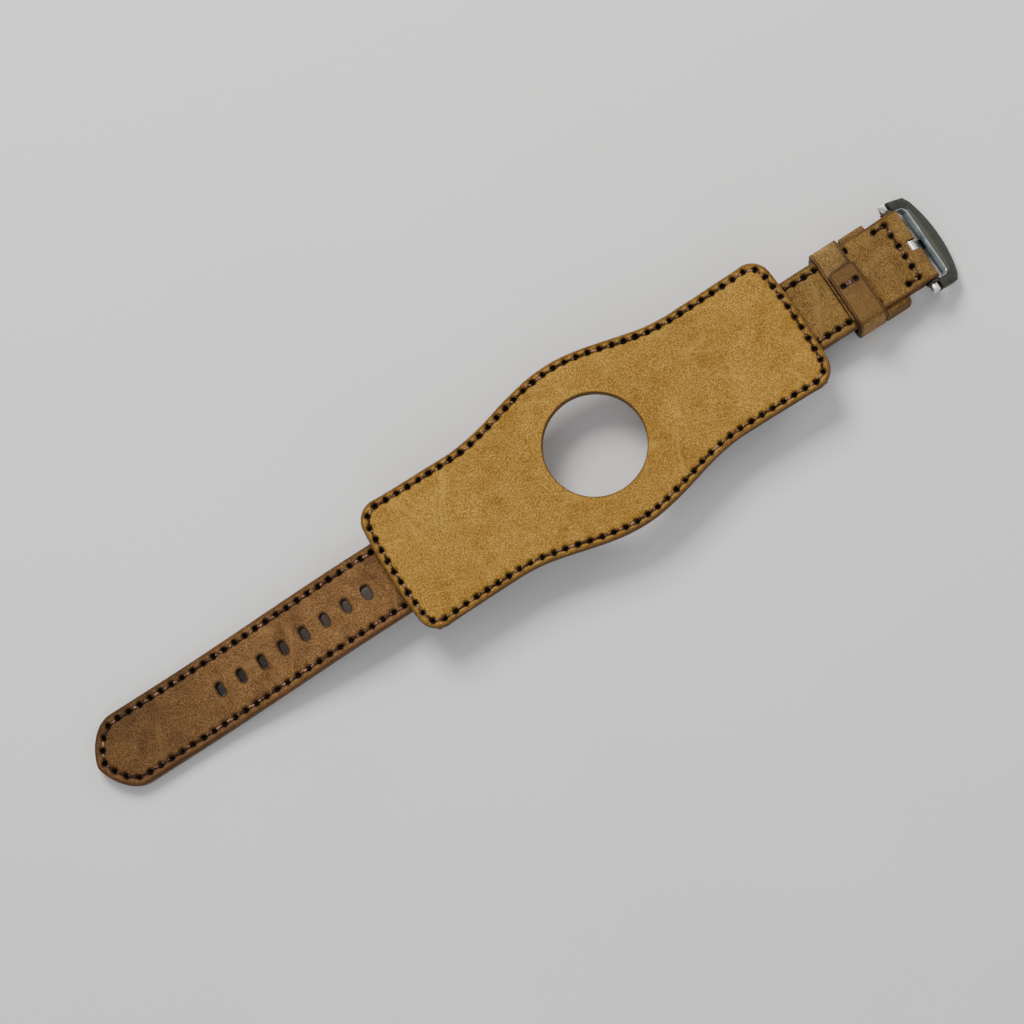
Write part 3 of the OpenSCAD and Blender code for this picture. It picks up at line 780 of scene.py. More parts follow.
class Graph:
    """Adds the nodes of one shader tree and links them."""

    def __init__(self, tree: NodeTree) -> None:
        """Takes the tree that is to be filled."""
        self.tree = tree

    def add(self, kind: str, feeds: Optional[dict[Any, Any]] = None, **settings: Any) -> Node:
        """Adds a node.

        Args:
            kind: Blender's name of the node, without ShaderNode.
            feeds: Value or output for each input, by name or index.
            **settings: The node's own settings.

        Returns:
            The node.
        """
        node = self.tree.nodes.new("ShaderNode" + kind)
        for key, value in settings.items():
            setattr(node, key, value)
        for key, value in (feeds or {}).items():
            self.feed(node.inputs[key], value)
        return node

    def feed(self, socket: NodeSocket, value: Any) -> None:
        """Links an output to a socket, or sets the socket to a value.

        Args:
            socket: The input.
            value: An output or signal, or a value of the socket's kind.
        """
        value = value.socket if isinstance(value, Signal) else value
        if isinstance(value, NodeSocket):
            self.tree.links.new(value, socket)
        elif isinstance(value, tuple) and socket.type == "RGBA" and len(value) == 3:
            socket.default_value = (*value, 1.0)
        else:
            socket.default_value = value

    def group(self, tree: NodeTree, **feeds: Any) -> dict[str, Signal]:
        """Places a node group.

        Args:
            tree: The group.
            **feeds: Value or output for each of its inputs.

        Returns:
            Its outputs by name.
        """
        node = self.add("Group", node_tree=tree)
        for name, value in feeds.items():
            self.feed(node.inputs[name], value)
        return {output.name: Signal(self, output) for output in node.outputs}

    def math(self, operation: str, *values: Any) -> Signal:
        """Output of a math node."""
        return Signal(self, self.add("Math", dict(enumerate(values)), operation=operation).outputs[0])

    def mix(self, share: Any, a: Any, b: Any, blend: str = "MIX") -> NodeSocket:
        """Output of a colour mix."""
        return self.add("Mix", {0: share, 6: a, 7: b}, data_type="RGBA", blend_type=blend).outputs[2]

    def shade(self, colour: Any, tone: Signal) -> NodeSocket:
        """A colour made darker or lighter by a factor."""
        grey = self.add("CombineXYZ", {0: tone, 1: tone, 2: tone}).outputs[0]
        return self.mix(1.0, colour, grey, "MULTIPLY")

    def noise(self, vector: Any, scale: float, detail: float = 3.0, rough: float = 0.55) -> Signal:
        """Value of a noise texture."""
        feeds = {"Vector": vector, "Scale": scale, "Detail": detail, "Roughness": rough}
        return Signal(self, self.add("TexNoise", feeds).outputs[0])

    def ramp(self, value: Any, low: float, high: float, start: float = 0.0, end: float = 1.0) -> Signal:
        """Value mapped smoothly from one range to another."""
        feeds = {0: value, 1: low, 2: high, 3: start, 4: end}
        return Signal(self, self.add("MapRange", feeds, interpolation_type="SMOOTHSTEP").outputs[0])

    def stretched(self, vector: Any, turn: float, scale: tuple[float, float, float]) -> NodeSocket:
        """Vector turned about Z and then scaled."""
        turned = self.add("Mapping", {"Vector": vector, "Rotation": (0.0, 0.0, turn)}).outputs[0]
        return self.add("Mapping", {"Vector": turned, "Scale": scale}).outputs[0]

    def split(self, vector: Any) -> tuple[Signal, ...]:
        """The three parts of a vector."""
        return tuple(Signal(self, part) for part in self.add("SeparateXYZ", {0: vector}).outputs)

    def in_mm(self, place: Any) -> tuple[Signal, ...]:
        """Object coordinates in mm from the middle of the pad."""
        x, y, z = self.split(place)
        return x / MM - PAD_MIDDLE_X, y / MM, z / MM


class Effects:
    """Shader node groups that several materials share, each built once."""

    @staticmethod
    def _begin(name: str, inputs: dict[str, str], outputs: Sequence[str]) -> tuple[Graph, Any, Any]:
        """Starts a group with named inputs and outputs.

        Args:
            name: Name of the group.
            inputs: Kind of each input, by its name.
            outputs: Names of the outputs, all of them values.

        Returns:
            The group's graph, its input node's outputs and its output node's inputs.
        """
        tree = bpy.data.node_groups.new(name, "ShaderNodeTree")
        for label, kind in inputs.items():
            tree.interface.new_socket(name=label, in_out="INPUT", socket_type="NodeSocket" + kind)
        for label in outputs:
            tree.interface.new_socket(name=label, in_out="OUTPUT", socket_type="NodeSocketFloat")
        start, end = tree.nodes.new("NodeGroupInput"), tree.nodes.new("NodeGroupOutput")
        return Graph(tree), start.outputs, end.inputs

    @classmethod
    @cache
    def leather_grain(cls) -> NodeTree:
        """Grain of brushed leather: blotches, mottling, specks, fine scratches and a height.

        Returns:
            The group, which takes the place on the leather.
        """
        g, start, end = cls._begin(
            "leather_grain", {"Vector": "Vector"}, ("Blotch", "Mottle", "Speck", "Scratch", "Height")
        )
        at = start["Vector"]
        wander = g.add("TexNoise", {"Vector": at, "Scale": 120.0, "Detail": 2.0}).outputs[1]
        wander = g.add("VectorMath", {0: wander, "Scale": 0.0022}, operation="SCALE").outputs[0]
        bent = g.add("VectorMath", {0: at, 1: wander}, operation="ADD").outputs[0]
        blotch = g.ramp(g.noise(bent, 58.0, 5.0, 0.62), 0.34, 0.66)
        mottle = g.ramp(g.noise(bent, 260.0, 3.0, 0.5), 0.28, 0.72)
        nap = g.ramp(g.noise(g.stretched(bent, 0.5, (4300.0, 2500.0, 3300.0)), 1.0, 2.0, 0.6), 0.26, 0.74)
        pores = g.add("TexVoronoi", {"Vector": bent, "Scale": 2400.0, "Randomness": 1.0}).outputs[0]
        pebble = g.ramp(pores, 0.05, 0.7, 1.0, 0.0)
        speck = nap * 0.72 + pebble * 0.28
        crease = g.ramp(abs(g.noise(bent, 210.0, 4.0, 0.6) - 0.5), 0.0, 0.035, 1.0, 0.0)
        crease = crease * g.ramp(g.noise(at, 90.0, 2.0), 0.48, 0.62)
        streaks = []
        for turn, spread, cut in ((0.35, 230.0, 0.022), (-1.05, 190.0, 0.02), (1.3, 260.0, 0.016)):
            streak = g.noise(g.stretched(bent, turn, (spread * 0.045, spread, spread)), 1.0, 1.0, 0.4)
            line = g.ramp(abs(streak - 0.5), cut * 0.2, cut, 1.0, 0.0)
            patch = g.ramp(g.noise(g.stretched(at, turn, (70.0, 70.0, 70.0)), 1.0, 1.0), 0.52, 0.64)
            streaks.append(line * patch)
        scratch = largest(*streaks)
        height = speck + mottle * 0.5 - crease * 0.7 - scratch * 0.4
        values = {"Blotch": blotch, "Mottle": mottle, "Speck": speck, "Scratch": scratch, "Height": height}
        for name, value in values.items():
            g.feed(end[name], value)
        return g.tree

    @classmethod
    @cache
    def awl_seam(cls) -> NodeTree:
        """Masks of a stitched seam: its awl holes and the halo round them, which take painted shade, and the
        pressed groove.

        Returns:
            The group, which takes the place and the distances to a hole and to the line.
        """
        g, start, end = cls._begin(
            "awl_seam", {"Vector": "Vector", "Ring": "Float", "Line": "Float"}, ("Hole", "Halo", "Groove")
        )
        fine, broad = g.noise(start["Vector"], 1000.0, 2.0), g.noise(start["Vector"], 250.0)
        ragged = (fine - 0.5) * 0.6 + (broad - 0.5) * 0.6
        ring = ragged + start["Ring"]
        g.feed(end["Hole"], g.ramp(ring, 0.54, 0.8, 1.0, 0.0))
        g.feed(end["Halo"], g.ramp(ring, 0.6, 1.3, 1.0, 0.0))
        g.feed(end["Groove"], g.ramp(ragged + start["Line"], 0.1, 0.8, 1.0, 0.0))
        return g.tree

    @classmethod
    @cache
    def edge_burnish(cls) -> NodeTree:
        """Mask of a burnished edge, ragged by noise, and of the cut side below it.

        Returns:
            The group, which takes the place, the distance from the edge and the burnish's width.
        """
        inputs = {"Vector": "Vector", "Distance": "Float", "Width": "Float"}
        g, start, end = cls._begin("edge_burnish", inputs, ("Burnish", "Side", "Fibre"))
        fine = g.noise(start["Vector"], 900.0, 3.0) * 0.5 - 0.25
        broad = g.noise(start["Vector"], 130.0, 2.0) * 0.9 - 0.45
        near = (fine + broad + start["Distance"]) / start["Width"]
        crease = g.ramp(abs(fine * 0.3 + start["Distance"] - 0.56), 0.06, 0.26, 0.9, 0.0)
        g.feed(end["Burnish"], largest(g.ramp(near, 0.0, 0.75, 1.0, 0.0), crease))
        g.feed(end["Side"], g.ramp(start["Distance"], -0.12, 0.06, 1.0, 0.0))
        layers = g.stretched(start["Vector"], 0.0, (260.0, 260.0, 5200.0))
        g.feed(end["Fibre"], g.noise(layers, 1.0, 3.0, 0.6))
        return g.tree


def new_material(name: str) -> tuple[Material, Graph, Node, NodeSocket]:
    """Starts a material.

    Args:
        name: Name of the material.

    Returns:
        The material, its graph, its Principled shader and its Object coordinates.
    """
    material = bpy.data.materials.new(name)
    material.use_nodes = True
    material.node_tree.nodes.clear()
    graph = Graph(material.node_tree)
    shader = graph.add("BsdfPrincipled")
    leave = graph.add("OutputMaterial")
    graph.feed(leave.inputs["Surface"], shader.outputs[0])
    return material, graph, shader, graph.add("TexCoord").outputs["Object"]


class Seams(Enum):
    """Where the awl holes stand that a leather's finish darkens."""

    NONE = "none"
    EDGE = "edge"
    FOLD = "fold"
    FLAP = "flap"


@dataclass(frozen=True)
class LeatherFinish:
    """Brushed, waxed leather with burnished edges and stitched seams, with painted shade in and round its
    holes.
    """

    name: str
    dark: Colour
    middle: Colour
    light: Colour
    edge: Colour
    side: Colour
    seams: Seams = Seams.NONE
    seam_inset: float = 0.0
    burnish_w: float = 0.9
    burnish: float = 0.8
    blotch: float = 0.85
    speck: float = 0.85
    roughness: float = 0.72
    bump: float = 0.3
    window_r: float = 0.0
    adjust_holes: bool = False
    shift: tuple[float, float, float] = (0.0, 0.0, 0.0)
    hole_wall_shade: Colour = (0.012, 0.007, 0.004)
    halo_shade: Colour = (0.026, 0.012, 0.006)
    awl_hole_shade: Colour = (0.003, 0.002, 0.002)

    def build(self) -> Material:
        """Makes the material, whose edge follows the piece's UV map.

        Returns:
            The material.
        """
        material, g, shader, place = new_material(self.name)
        grain_at = g.add("Mapping", {"Vector": place, "Location": self.shift}).outputs[0]
        phase, distance, _ = g.split(g.add("UVMap", uv_map="seam").outputs[0])
        grain = g.group(Effects.leather_grain(), Vector=grain_at)
        edge = g.group(Effects.edge_burnish(), Vector=grain_at, Distance=distance, Width=self.burnish_w)
        colour = g.mix(grain["Blotch"] * self.blotch, self.middle, self.dark)
        colour = g.mix(grain["Mottle"] * 0.42, colour, self.light)
        low, high = 1.0 - self.speck * 0.55, 1.0 + self.speck * 0.5
        colour = g.shade(colour, g.ramp(grain["Speck"], 0.15, 0.85, low, high))
        colour = g.mix(grain["Scratch"] * 0.35, colour, self.light)
        burnish = edge["Burnish"]
        if self.window_r > 0:
            rim = hypot(*g.in_mm(place)[:2])
            rim = g.ramp(rim, self.window_r + 0.12, self.window_r + 0.46, 1.0, 0.0)
            burnish = largest(burnish, rim)
        if self.seams is Seams.FLAP:
            top = SlidingKeeper().flap_z
            colour = g.mix(g.ramp(g.in_mm(place)[2], top - 0.4, top + 0.3) * 0.68, colour, self.dark)
        colour = g.mix(burnish * self.burnish, colour, self.edge)
        side = g.mix(g.ramp(edge["Fibre"], 0.35, 0.65), self.side, self.edge)
        colour = g.mix(edge["Side"] * 0.85, colour, side)
        if self.adjust_holes:
            tail, (along, across, _) = TailHalf(), g.in_mm(place)
            colour = g.shade(colour, g.ramp(along, -122.0, -96.0, 0.78, 1.12))
            wander = g.noise(place, 160.0, 2.0) * 1.6
            colour = g.mix(g.ramp(abs(wander + along + 111.0), 0.05, 0.2, 0.3, 0.0), colour, self.light)
            # Painted shade: each adjusting hole's walls and a ring round it are darkened towards near black.
            radius = tail.hole_len / 2
            hole = g.ramp(tail.from_hole(along, across), radius + 0.02, radius + 0.8, 1.0, 0.0)
            colour = g.mix(hole * 0.8, colour, self.hole_wall_shade)
        if self.seams is not Seams.NONE:
            ring, line = self.seam_place(g, place, phase, distance)
            seam = g.group(Effects.awl_seam(), Vector=grain_at, Ring=ring, Line=line)
            colour = g.mix(seam["Groove"] * 0.45, colour, self.edge)
            # Painted shade: the halo round each awl hole is darkened, and the hole itself is painted near
            # black.
            colour = g.mix(seam["Halo"] * 0.6, colour, self.halo_shade)
            colour = g.mix(seam["Hole"], colour, self.awl_hole_shade)
        rough = g.ramp(burnish, 0.0, 1.0, self.roughness, self.roughness - 0.2)
        rough = rough + (grain["Mottle"] - 0.5) * 0.14
        bump = g.add("Bump", {"Height": grain["Height"], "Strength": self.bump, "Distance": 0.0004})
        g.feed(shader.inputs["Base Color"], colour)
        g.feed(shader.inputs["Roughness"], rough)
        g.feed(shader.inputs["Normal"], bump.outputs[0])
        shader.inputs["Specular IOR Level"].default_value = 0.16
        return material

    def seam_place(self, g: Graph, place: Any, phase: Signal, distance: Signal) -> tuple[Signal, Signal]:
        """Distances in mm to the nearest awl hole and to the seam's line.

        Along a piece's edge they follow its UV map. On the buckle's half they are the half's own,
        and the flap of the sliding keeper has two holes, on its upper layer alone.

        Args:
            g: The graph.
            place: Object coordinates.
            phase: Running count of stitches.
            distance: Distance from the edge.

        Returns:
            The distance to the nearest hole and the distance to the line.
        """
        if self.seams is Seams.EDGE:
            aside = distance - self.seam_inset
            return hypot((phase - nearest(phase)) * AT.pitch, aside + 0.14), abs(aside)
        x, y, z = g.in_mm(place)
        if self.seams is Seams.FOLD:
            return BuckleHalf().seam_place(x, y)
        keeper = SlidingKeeper()
        x = x - (keeper.low_x + keeper.width / 2)
        low = g.ramp(z, keeper.flap_z - 1.2, keeper.flap_z - 0.7, 9.0, 0.0)
        from_hole = abs(x) - keeper.stitch / 2
        line = abs(y) + largest(from_hole, 0.0) * 2.0 + low
        return hypot(from_hole * 0.85, y * 1.05) + low, line


@dataclass(frozen=True)
class ThreadFinish:
    """Waxed two-ply thread, with painted glints on its plies and painted shade at the ends of each stitch."""

    name: str
    dark: Colour
    # The light colour is that of the painted glints.
    light: Colour
    plies: float = 1.5

    def build(self) -> Material:
        """Makes the material, whose plies twist along the piece's UV map, with painted glints on the plies
        and painted shade at each stitch's ends.

        Returns:
            The material.
        """
        material, g, shader, place = new_material(self.name)
        along, around, _ = g.split(g.add("UVMap", uv_map="seam").outputs[0])
        twist = along * self.plies + around
        ply = g.ramp(g.math("SINE", twist * (math.tau * 2)), -0.9, 0.9)
        fuzz = g.noise(place, 4200.0, 3.0)
        # Painted glints: patches where the light colour shows along the plies.
        painted_glint = g.ramp(g.noise(place, 620.0, 2.0), 0.46, 0.64)
        colour = g.mix((ply * 0.7 + 0.3) * (painted_glint * 0.95 + 0.05), self.dark, self.light)
        # Painted shade: each stitch darkens to near black where it dives into an awl hole.
        colour = g.shade(colour, g.ramp(abs(along - nearest(along)), 0.13, 0.26, 0.04, 1.0))
        g.feed(shader.inputs["Base Color"], colour)
        g.feed(shader.inputs["Roughness"], g.ramp(fuzz, 0.3, 0.7, 0.38, 0.58))
        shader.inputs["Specular IOR Level"].default_value = 0.12
        bump = g.add("Bump", {"Height": ply + fuzz * 0.4, "Strength": 0.5, "Distance": 0.00012})
        g.feed(shader.inputs["Normal"], bump.outputs[0])
        return material


class Turned(Enum):
    """Direction of the fine tool marks on a metal piece."""

    LONG = (60.0, 2200.0, 2200.0)
    ACROSS = (2200.0, 60.0, 2200.0)
    EVEN = (700.0, 700.0, 700.0)


@dataclass(frozen=True)
class SteelFinish:
    """Steel with fine tool marks, faint smudges and small scratches, and painted shade lower down where deep
    is given.
    """

    name: str
    dark: Colour
    light: Colour
    roughness: float
    marks: Turned
    bump: float = 0.1
    metallic: float = 1.0
    # Heights in mm below which painted shade darkens the colour, and its darkest tone.
    deep: Optional[tuple[float, float, float]] = None

    def build(self) -> Material:
        """Makes the material: marks along one axis, smudges, nicks and painted shade lower down.

        Returns:
            The material.
        """
        material, g, shader, place = new_material(self.name)
        streak = g.noise(g.stretched(place, 0.0, self.marks.value), 1.0, 3.0, 0.6)
        smudge = g.ramp(g.noise(place, 230.0, 4.0, 0.6), 0.3, 0.72)
        nick = g.ramp(g.noise(g.stretched(place, 0.8, (90.0, 1900.0, 1900.0)), 1.0, 1.0), 0.68, 0.74)
        colour = g.mix(g.ramp(streak * 0.6 + smudge * 0.4, 0.25, 0.75), self.dark, self.light)
        colour = g.mix(nick * 0.4, colour, self.light)
        # Painted shade: darker with depth, down to the darkest tone at the low height.
        if self.deep is not None:
            low, high, darkest_shade = self.deep
            colour = g.shade(colour, g.ramp(g.in_mm(place)[2], low, high, darkest_shade, 1.0))
        rough = smudge * 0.14 + (self.roughness - 0.07) + (streak - 0.5) * 0.1
        bump = g.add("Bump", {"Height": streak, "Strength": self.bump, "Distance": 0.00008})
        g.feed(shader.inputs["Base Color"], colour)
        g.feed(shader.inputs["Roughness"], rough)
        g.feed(shader.inputs["Normal"], bump.outputs[0])
        shader.inputs["Metallic"].default_value = self.metallic
        return material


class Finishes:
    """The strap's finishes, built once."""

    def __init__(self) -> None:
        """Builds every material."""
        burnt, cut_side = (0.07, 0.027, 0.007), (0.14, 0.058, 0.015)
        smooth_face = (0.085, 0.036, 0.01), (0.14, 0.062, 0.018), (0.22, 0.105, 0.034)
        self.pad = LeatherFinish(
            "pad_nubuck", (0.24, 0.112, 0.015), (0.363, 0.188, 0.027), (0.49, 0.29, 0.066), burnt, cut_side,
            seams=Seams.EDGE, seam_inset=1.7, burnish_w=1.0, window_r=13.0, blotch=0.62,
        ).build()
        self.pad_front = LeatherFinish(
            "pad_front_leather", *smooth_face, burnt, cut_side,
            seams=Seams.EDGE, seam_inset=1.7, speck=0.5, roughness=0.5, bump=0.12, shift=(0.3, 0.1, 0.0),
        ).build()
        self.tail = LeatherFinish(
            "tail_nubuck", (0.1, 0.046, 0.014), (0.175, 0.084, 0.026), (0.275, 0.147, 0.055), burnt, cut_side,
            seams=Seams.EDGE, seam_inset=2.1, burnish_w=1.15, adjust_holes=True, shift=(0.7, 0.2, 0.0),
        ).build()
        self.tail_front = LeatherFinish(
            "tail_front_leather", *smooth_face, burnt, (0.13, 0.052, 0.012),
            speck=0.5, roughness=0.5, bump=0.12, shift=(0.1, 0.6, 0.0),
        ).build()
        self.buckle = LeatherFinish(
            "buckle_nubuck", (0.14, 0.07, 0.015), (0.228, 0.127, 0.028), (0.33, 0.2, 0.066), burnt, cut_side,
            seams=Seams.FOLD, burnish_w=0.85, burnish=0.7, shift=(0.9, 0.4, 0.0),
        ).build()
        self.loop = LeatherFinish(
            "loop_nubuck", (0.14, 0.068, 0.015), (0.228, 0.122, 0.027), (0.33, 0.196, 0.065), burnt, cut_side,
            burnish_w=0.7, shift=(0.2, 0.5, 0.0),
        ).build()
        # The keeper's edge and side colours are darker than the other leathers': burnished edges plus painted
        # shade on its side walls.
        self.keeper = LeatherFinish(
            "keeper_nubuck", (0.105, 0.053, 0.015), (0.27, 0.15, 0.042), (0.4, 0.248, 0.09),
            (0.035, 0.014, 0.005), (0.08, 0.034, 0.01), seams=Seams.FLAP, burnish_w=0.7, burnish=0.9,
            shift=(0.4, 0.9, 0.0),
        ).build()
        self.thread = ThreadFinish("waxed_thread", (0.024, 0.009, 0.005), (0.42, 0.24, 0.15)).build()
        self.pale_thread = ThreadFinish("worn_thread", (0.06, 0.027, 0.018), (0.62, 0.42, 0.32)).build()
        self.plate = SteelFinish(
            "brushed_plate", (0.052, 0.055, 0.044), (0.082, 0.088, 0.07), 0.46, Turned.ACROSS,
        ).build()
        # Painted shade on the lower part of the frame's inner wall, which hangs down towards the table.
        hang = AT.strap_mid - Buckle.inner_x * math.sin(math.radians(Buckle.frame_turn))
        self.wall = SteelFinish(
            "satin_wall", (0.16, 0.2, 0.22), (0.29, 0.34, 0.37), 0.36, Turned.ACROSS, 0.04, 0.4,
            (hang - 0.8, hang + 0.1, 0.3),
        ).build()
        # Painted shade on the tang's blade below its bright ring.
        self.tang = SteelFinish(
            "tang_steel", (0.82, 0.81, 0.79), (0.98, 0.97, 0.95), 0.3, Turned.LONG, 0.02, 1.0,
            (AT.strap_mid - 2.8, AT.strap_mid - 1.2, 0.42),
        ).build()
        self.bevel = SteelFinish(
            "polished_bevel", (0.62, 0.64, 0.67), (0.84, 0.86, 0.88), 0.2, Turned.ACROSS, 0.02,
        ).build()
        self.bright = SteelFinish(
            "bright_steel", (0.76, 0.74, 0.69), (0.84, 0.82, 0.77), 0.36, Turned.EVEN, 0.01,
        ).build()
        self.wire = SteelFinish(
            "spring_wire", (0.35, 0.35, 0.36), (0.55, 0.55, 0.56), 0.3, Turned.EVEN,
        ).build()


def dress(
    piece: Piece, body: str, slot: str, materials: Sequence[Material], *nodes: str
) -> None:
    """Gives a piece its materials, its body and the nodes that it stands for.

    Args:
        piece: The piece.
        body: Name of the body that it rides on.
        slot: Material slot of the record; not used.
        materials: Its materials, in the order of the faces' indices.
        *nodes: Nodes that it replaces.
    """
    for material in materials:
        piece.data.materials.append(material)
    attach(piece, body)
    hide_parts(*nodes)
    LOG.info("%s on %s: %d faces", piece.name, body, len(piece.data.polygons))


@dataclass
class WristPad:
    """The wide pad: lining and front leather with a round window, their seam and two bridges."""

    length: float = 120.0
    end_w: float = 36.5
    waist_w: float = 35.4
    belly_w: float = 46.8
    belly_reach: float = 33.0
    end_bow: float = 1.2
    corner_r: float = 5.5
    window_r: float = 13.0
    seam_inset: float = 1.7
    stitches: int = 94
    margin: float = 3.4
    swell: Swell = Swell(5, 0.07, 26.0, 2.0)
    side_swell: Swell = Swell(11, 0.05, 9.0)
    bridge_low_x: float = 49.0
    bridge_w: float = 8.0
    bridge_t: float = 1.4

    def outline(self, columns: int) -> Array:
        """Closed outline of the pad.

        The half width is the waist's plus a squared cosine at the belly and a fourth power towards
        the ends; each end bows out as a parabola, and arcs round the corners.

        Args:
            columns: Number of points.

        Returns:
            The outline, counterclockwise from the middle of the buckle's end.
        """
        half = self.length / 2
        r = self.corner_r
        corner_y = self.end_w / 2 - r - 0.1
        y = np.linspace(0, corner_y, 12)
        end = np.stack([half - self.end_bow * (2 * y / self.end_w) ** 2, y], axis=1)
        corner_x = end[-1, 0] - r
        x = np.linspace(corner_x - 1, 0, 160)
        belly = np.where(np.abs(x) < self.belly_reach, np.cos(math.pi / 2 * x / self.belly_reach) ** 2, 0.0)
        flare = np.minimum(1, x / half) ** 4
        fuller, wider = (self.belly_w - self.waist_w) / 2, (self.end_w - self.waist_w) / 2
        long = self.waist_w / 2 + fuller * belly + wider * flare
        quarter = np.concatenate([end, arc((corner_x, corner_y), r, 4, 88, 16), np.stack([x, long], axis=1)])
        whole = mirrored(np.concatenate([quarter, quarter[-2::-1] * [-1.0, 1.0]]))
        closed = np.concatenate([whole, whole[:1]])
        return resampled(closed, columns + 1)[:-1]

    def layer(
        self, name: str, low: float, high: float, edge: Edge, per_stitch: int, fine: bool
    ) -> tuple[Piece, Plan]:
        """One of the pad's two leathers.

        Args:
            name: Name of the piece.
            low: Height of its lower face.
            high: Height of its upper face.
            edge: Rounding of its edge.
            per_stitch: Number of columns to a stitch.
            fine: Whether the upper face has its swell, groove and pits.

        Returns:
            The piece and its plan.
        """
        outline = self.outline(self.stitches * per_stitch)
        plan = Plan.round_hub(outline, self.window_r, self.margin, self.seam_inset, self.stitches)
        slab = Slab(plan, low, high, edge, 24 if fine else 8, 0.19 if fine else 0.5)
        grid, distance, flag = slab.grid()
        if fine:
            from_middle = np.hypot(grid[..., 0], grid[..., 1])
            calm = smooth(self.window_r + 0.2, self.window_r + 3.0, from_middle)
            swell = self.swell.over(grid, distance) * calm
            relief = SeamRelief().depth(plan, distance)
            grid[..., 2] += np.where((flag == 1)[:, None], swell - relief, 0.0)
            out = np.where((flag == 0)[:, None], self.side_swell.uneven(grid), 0.0)
            grid[..., :2] += Plan.normals(outline)[None] * out[..., None]
        piece = MeshMaker.from_grid(name, grid, (plan.phase(), distance), wrap_rows=True, weld=False)
        return piece, plan

    def threads(self, plan: Plan) -> Piece:
        """The seam's stitches on both faces.

        Args:
            plan: Plan that holds the seam.

        Returns:
            One object of all the stitches.
        """
        holes = plan.holes()
        levels = (AT.pad_top - 0.12, AT.pad_low + 0.2)
        rows = [np.insert(holes, 2, level, axis=1) for level in levels]
        start = np.concatenate([row[:-1] for row in rows])
        end = np.concatenate([row[1:] for row in rows])
        ups = np.zeros_like(start)
        ups[: self.stitches, 2], ups[self.stitches :, 2] = 1.0, -1.0
        return Stitching().build("pad_seam", start, end, ups, 21)

    def bridge(self, name: str, low_x: float) -> Piece:
        """A strip that is bent into a loop under the pad, its tabs flat against the front leather.

        Args:
            name: Name of the piece.
            low_x: Station of its side nearer the tail.

        Returns:
            The piece.
        """
        tab_z = AT.pad_low - self.bridge_t / 2 - 0.01
        wall = AT.strap_half + 0.15 + self.bridge_t / 2
        floor = AT.strap_low - 0.37 - self.bridge_t / 2
        bend, tab_y = 0.95, 17.7
        half = np.concatenate([
            [[-tab_y, tab_z]],
            arc((-wall - bend, tab_z - bend), bend, 90, 0, 8),
            arc((-wall + bend, floor + bend), bend, 180, 270, 8),
        ])
        points = np.concatenate([half, half[::-1] * [-1.0, 1.0]])
        route = Route(softened(points, 0.25, 1), Plane.ACROSS, low_x + self.bridge_w / 2)
        run = lengths(route.points)[-1]
        outline = strip_outline(0.0, run, self.bridge_w / 2, 0.8, 0.8, 0.35)
        plan = Plan.spine_hub(outline, 3.0, run - 3.0, 1.6, 0.9, 40)
        slab = Slab(plan, -self.bridge_t / 2, self.bridge_t / 2, Edge(0.25, 0.25, 0.05), 5, 0.4)
        grid, distance, _ = slab.grid()
        return MeshMaker.from_grid(name, route.bend(grid), (plan.phase(), distance))

    def build(self, finishes: Finishes) -> None:
        """Builds and dresses the pad's pieces.

        Args:
            finishes: The strap's finishes.
        """
        edge = Edge(0.55, 0.12, 0.1, 0.35)
        lining, plan = self.layer("pad_lining_leather", AT.pad_mid, AT.pad_top, edge, 10, True)
        dress(lining, "pad", "pad_leather", [finishes.pad], "pad_lining")
        edge = Edge(0.12, 0.45, 0.1, 0.1)
        front, _ = self.layer("pad_front_skin", AT.pad_low, AT.pad_mid, edge, 5, False)
        dress(front, "pad", "pad_front_leather", [finishes.pad_front], "pad_front")
        dress(self.threads(plan), "pad", "thread", [finishes.thread], "pad_thread")
        tail_x = -self.bridge_low_x - self.bridge_w
        for name, low_x in (("pad_bridge_tail", tail_x), ("pad_bridge_buckle", self.bridge_low_x)):
            piece = self.bridge(name + "_strap", low_x)
            dress(piece, "pad", "pad_front_leather", [finishes.tail_front], name)


def lug_turn() -> Array:
    """Middle line of the leather where it turns round a spring bar, pared thin there.

    Returns:
        Points in X and Z, from above the bar to below it.
    """
    beside, turn_r, over_z, under_z = AT.lug_x + 4.0, 1.575, 8.56, 5.9
    return np.concatenate([
        [[AT.lug_x + 6.0, AT.lining_mid], [beside, over_z]],
        arc((AT.lug_x, AT.lug_z), turn_r, 90, 270, 20),
        [[beside, under_z], [AT.lug_x + 8.5, AT.front_mid]],
    ])


def pared(run: Array) -> Array:
    """Thickness of a front leather at a running length: 1.25 round the spring bar, else 1.75."""
    return 1.75 - 0.5 * (smooth(0.5, 5.0, run) - smooth(12.0, 19.0, run))


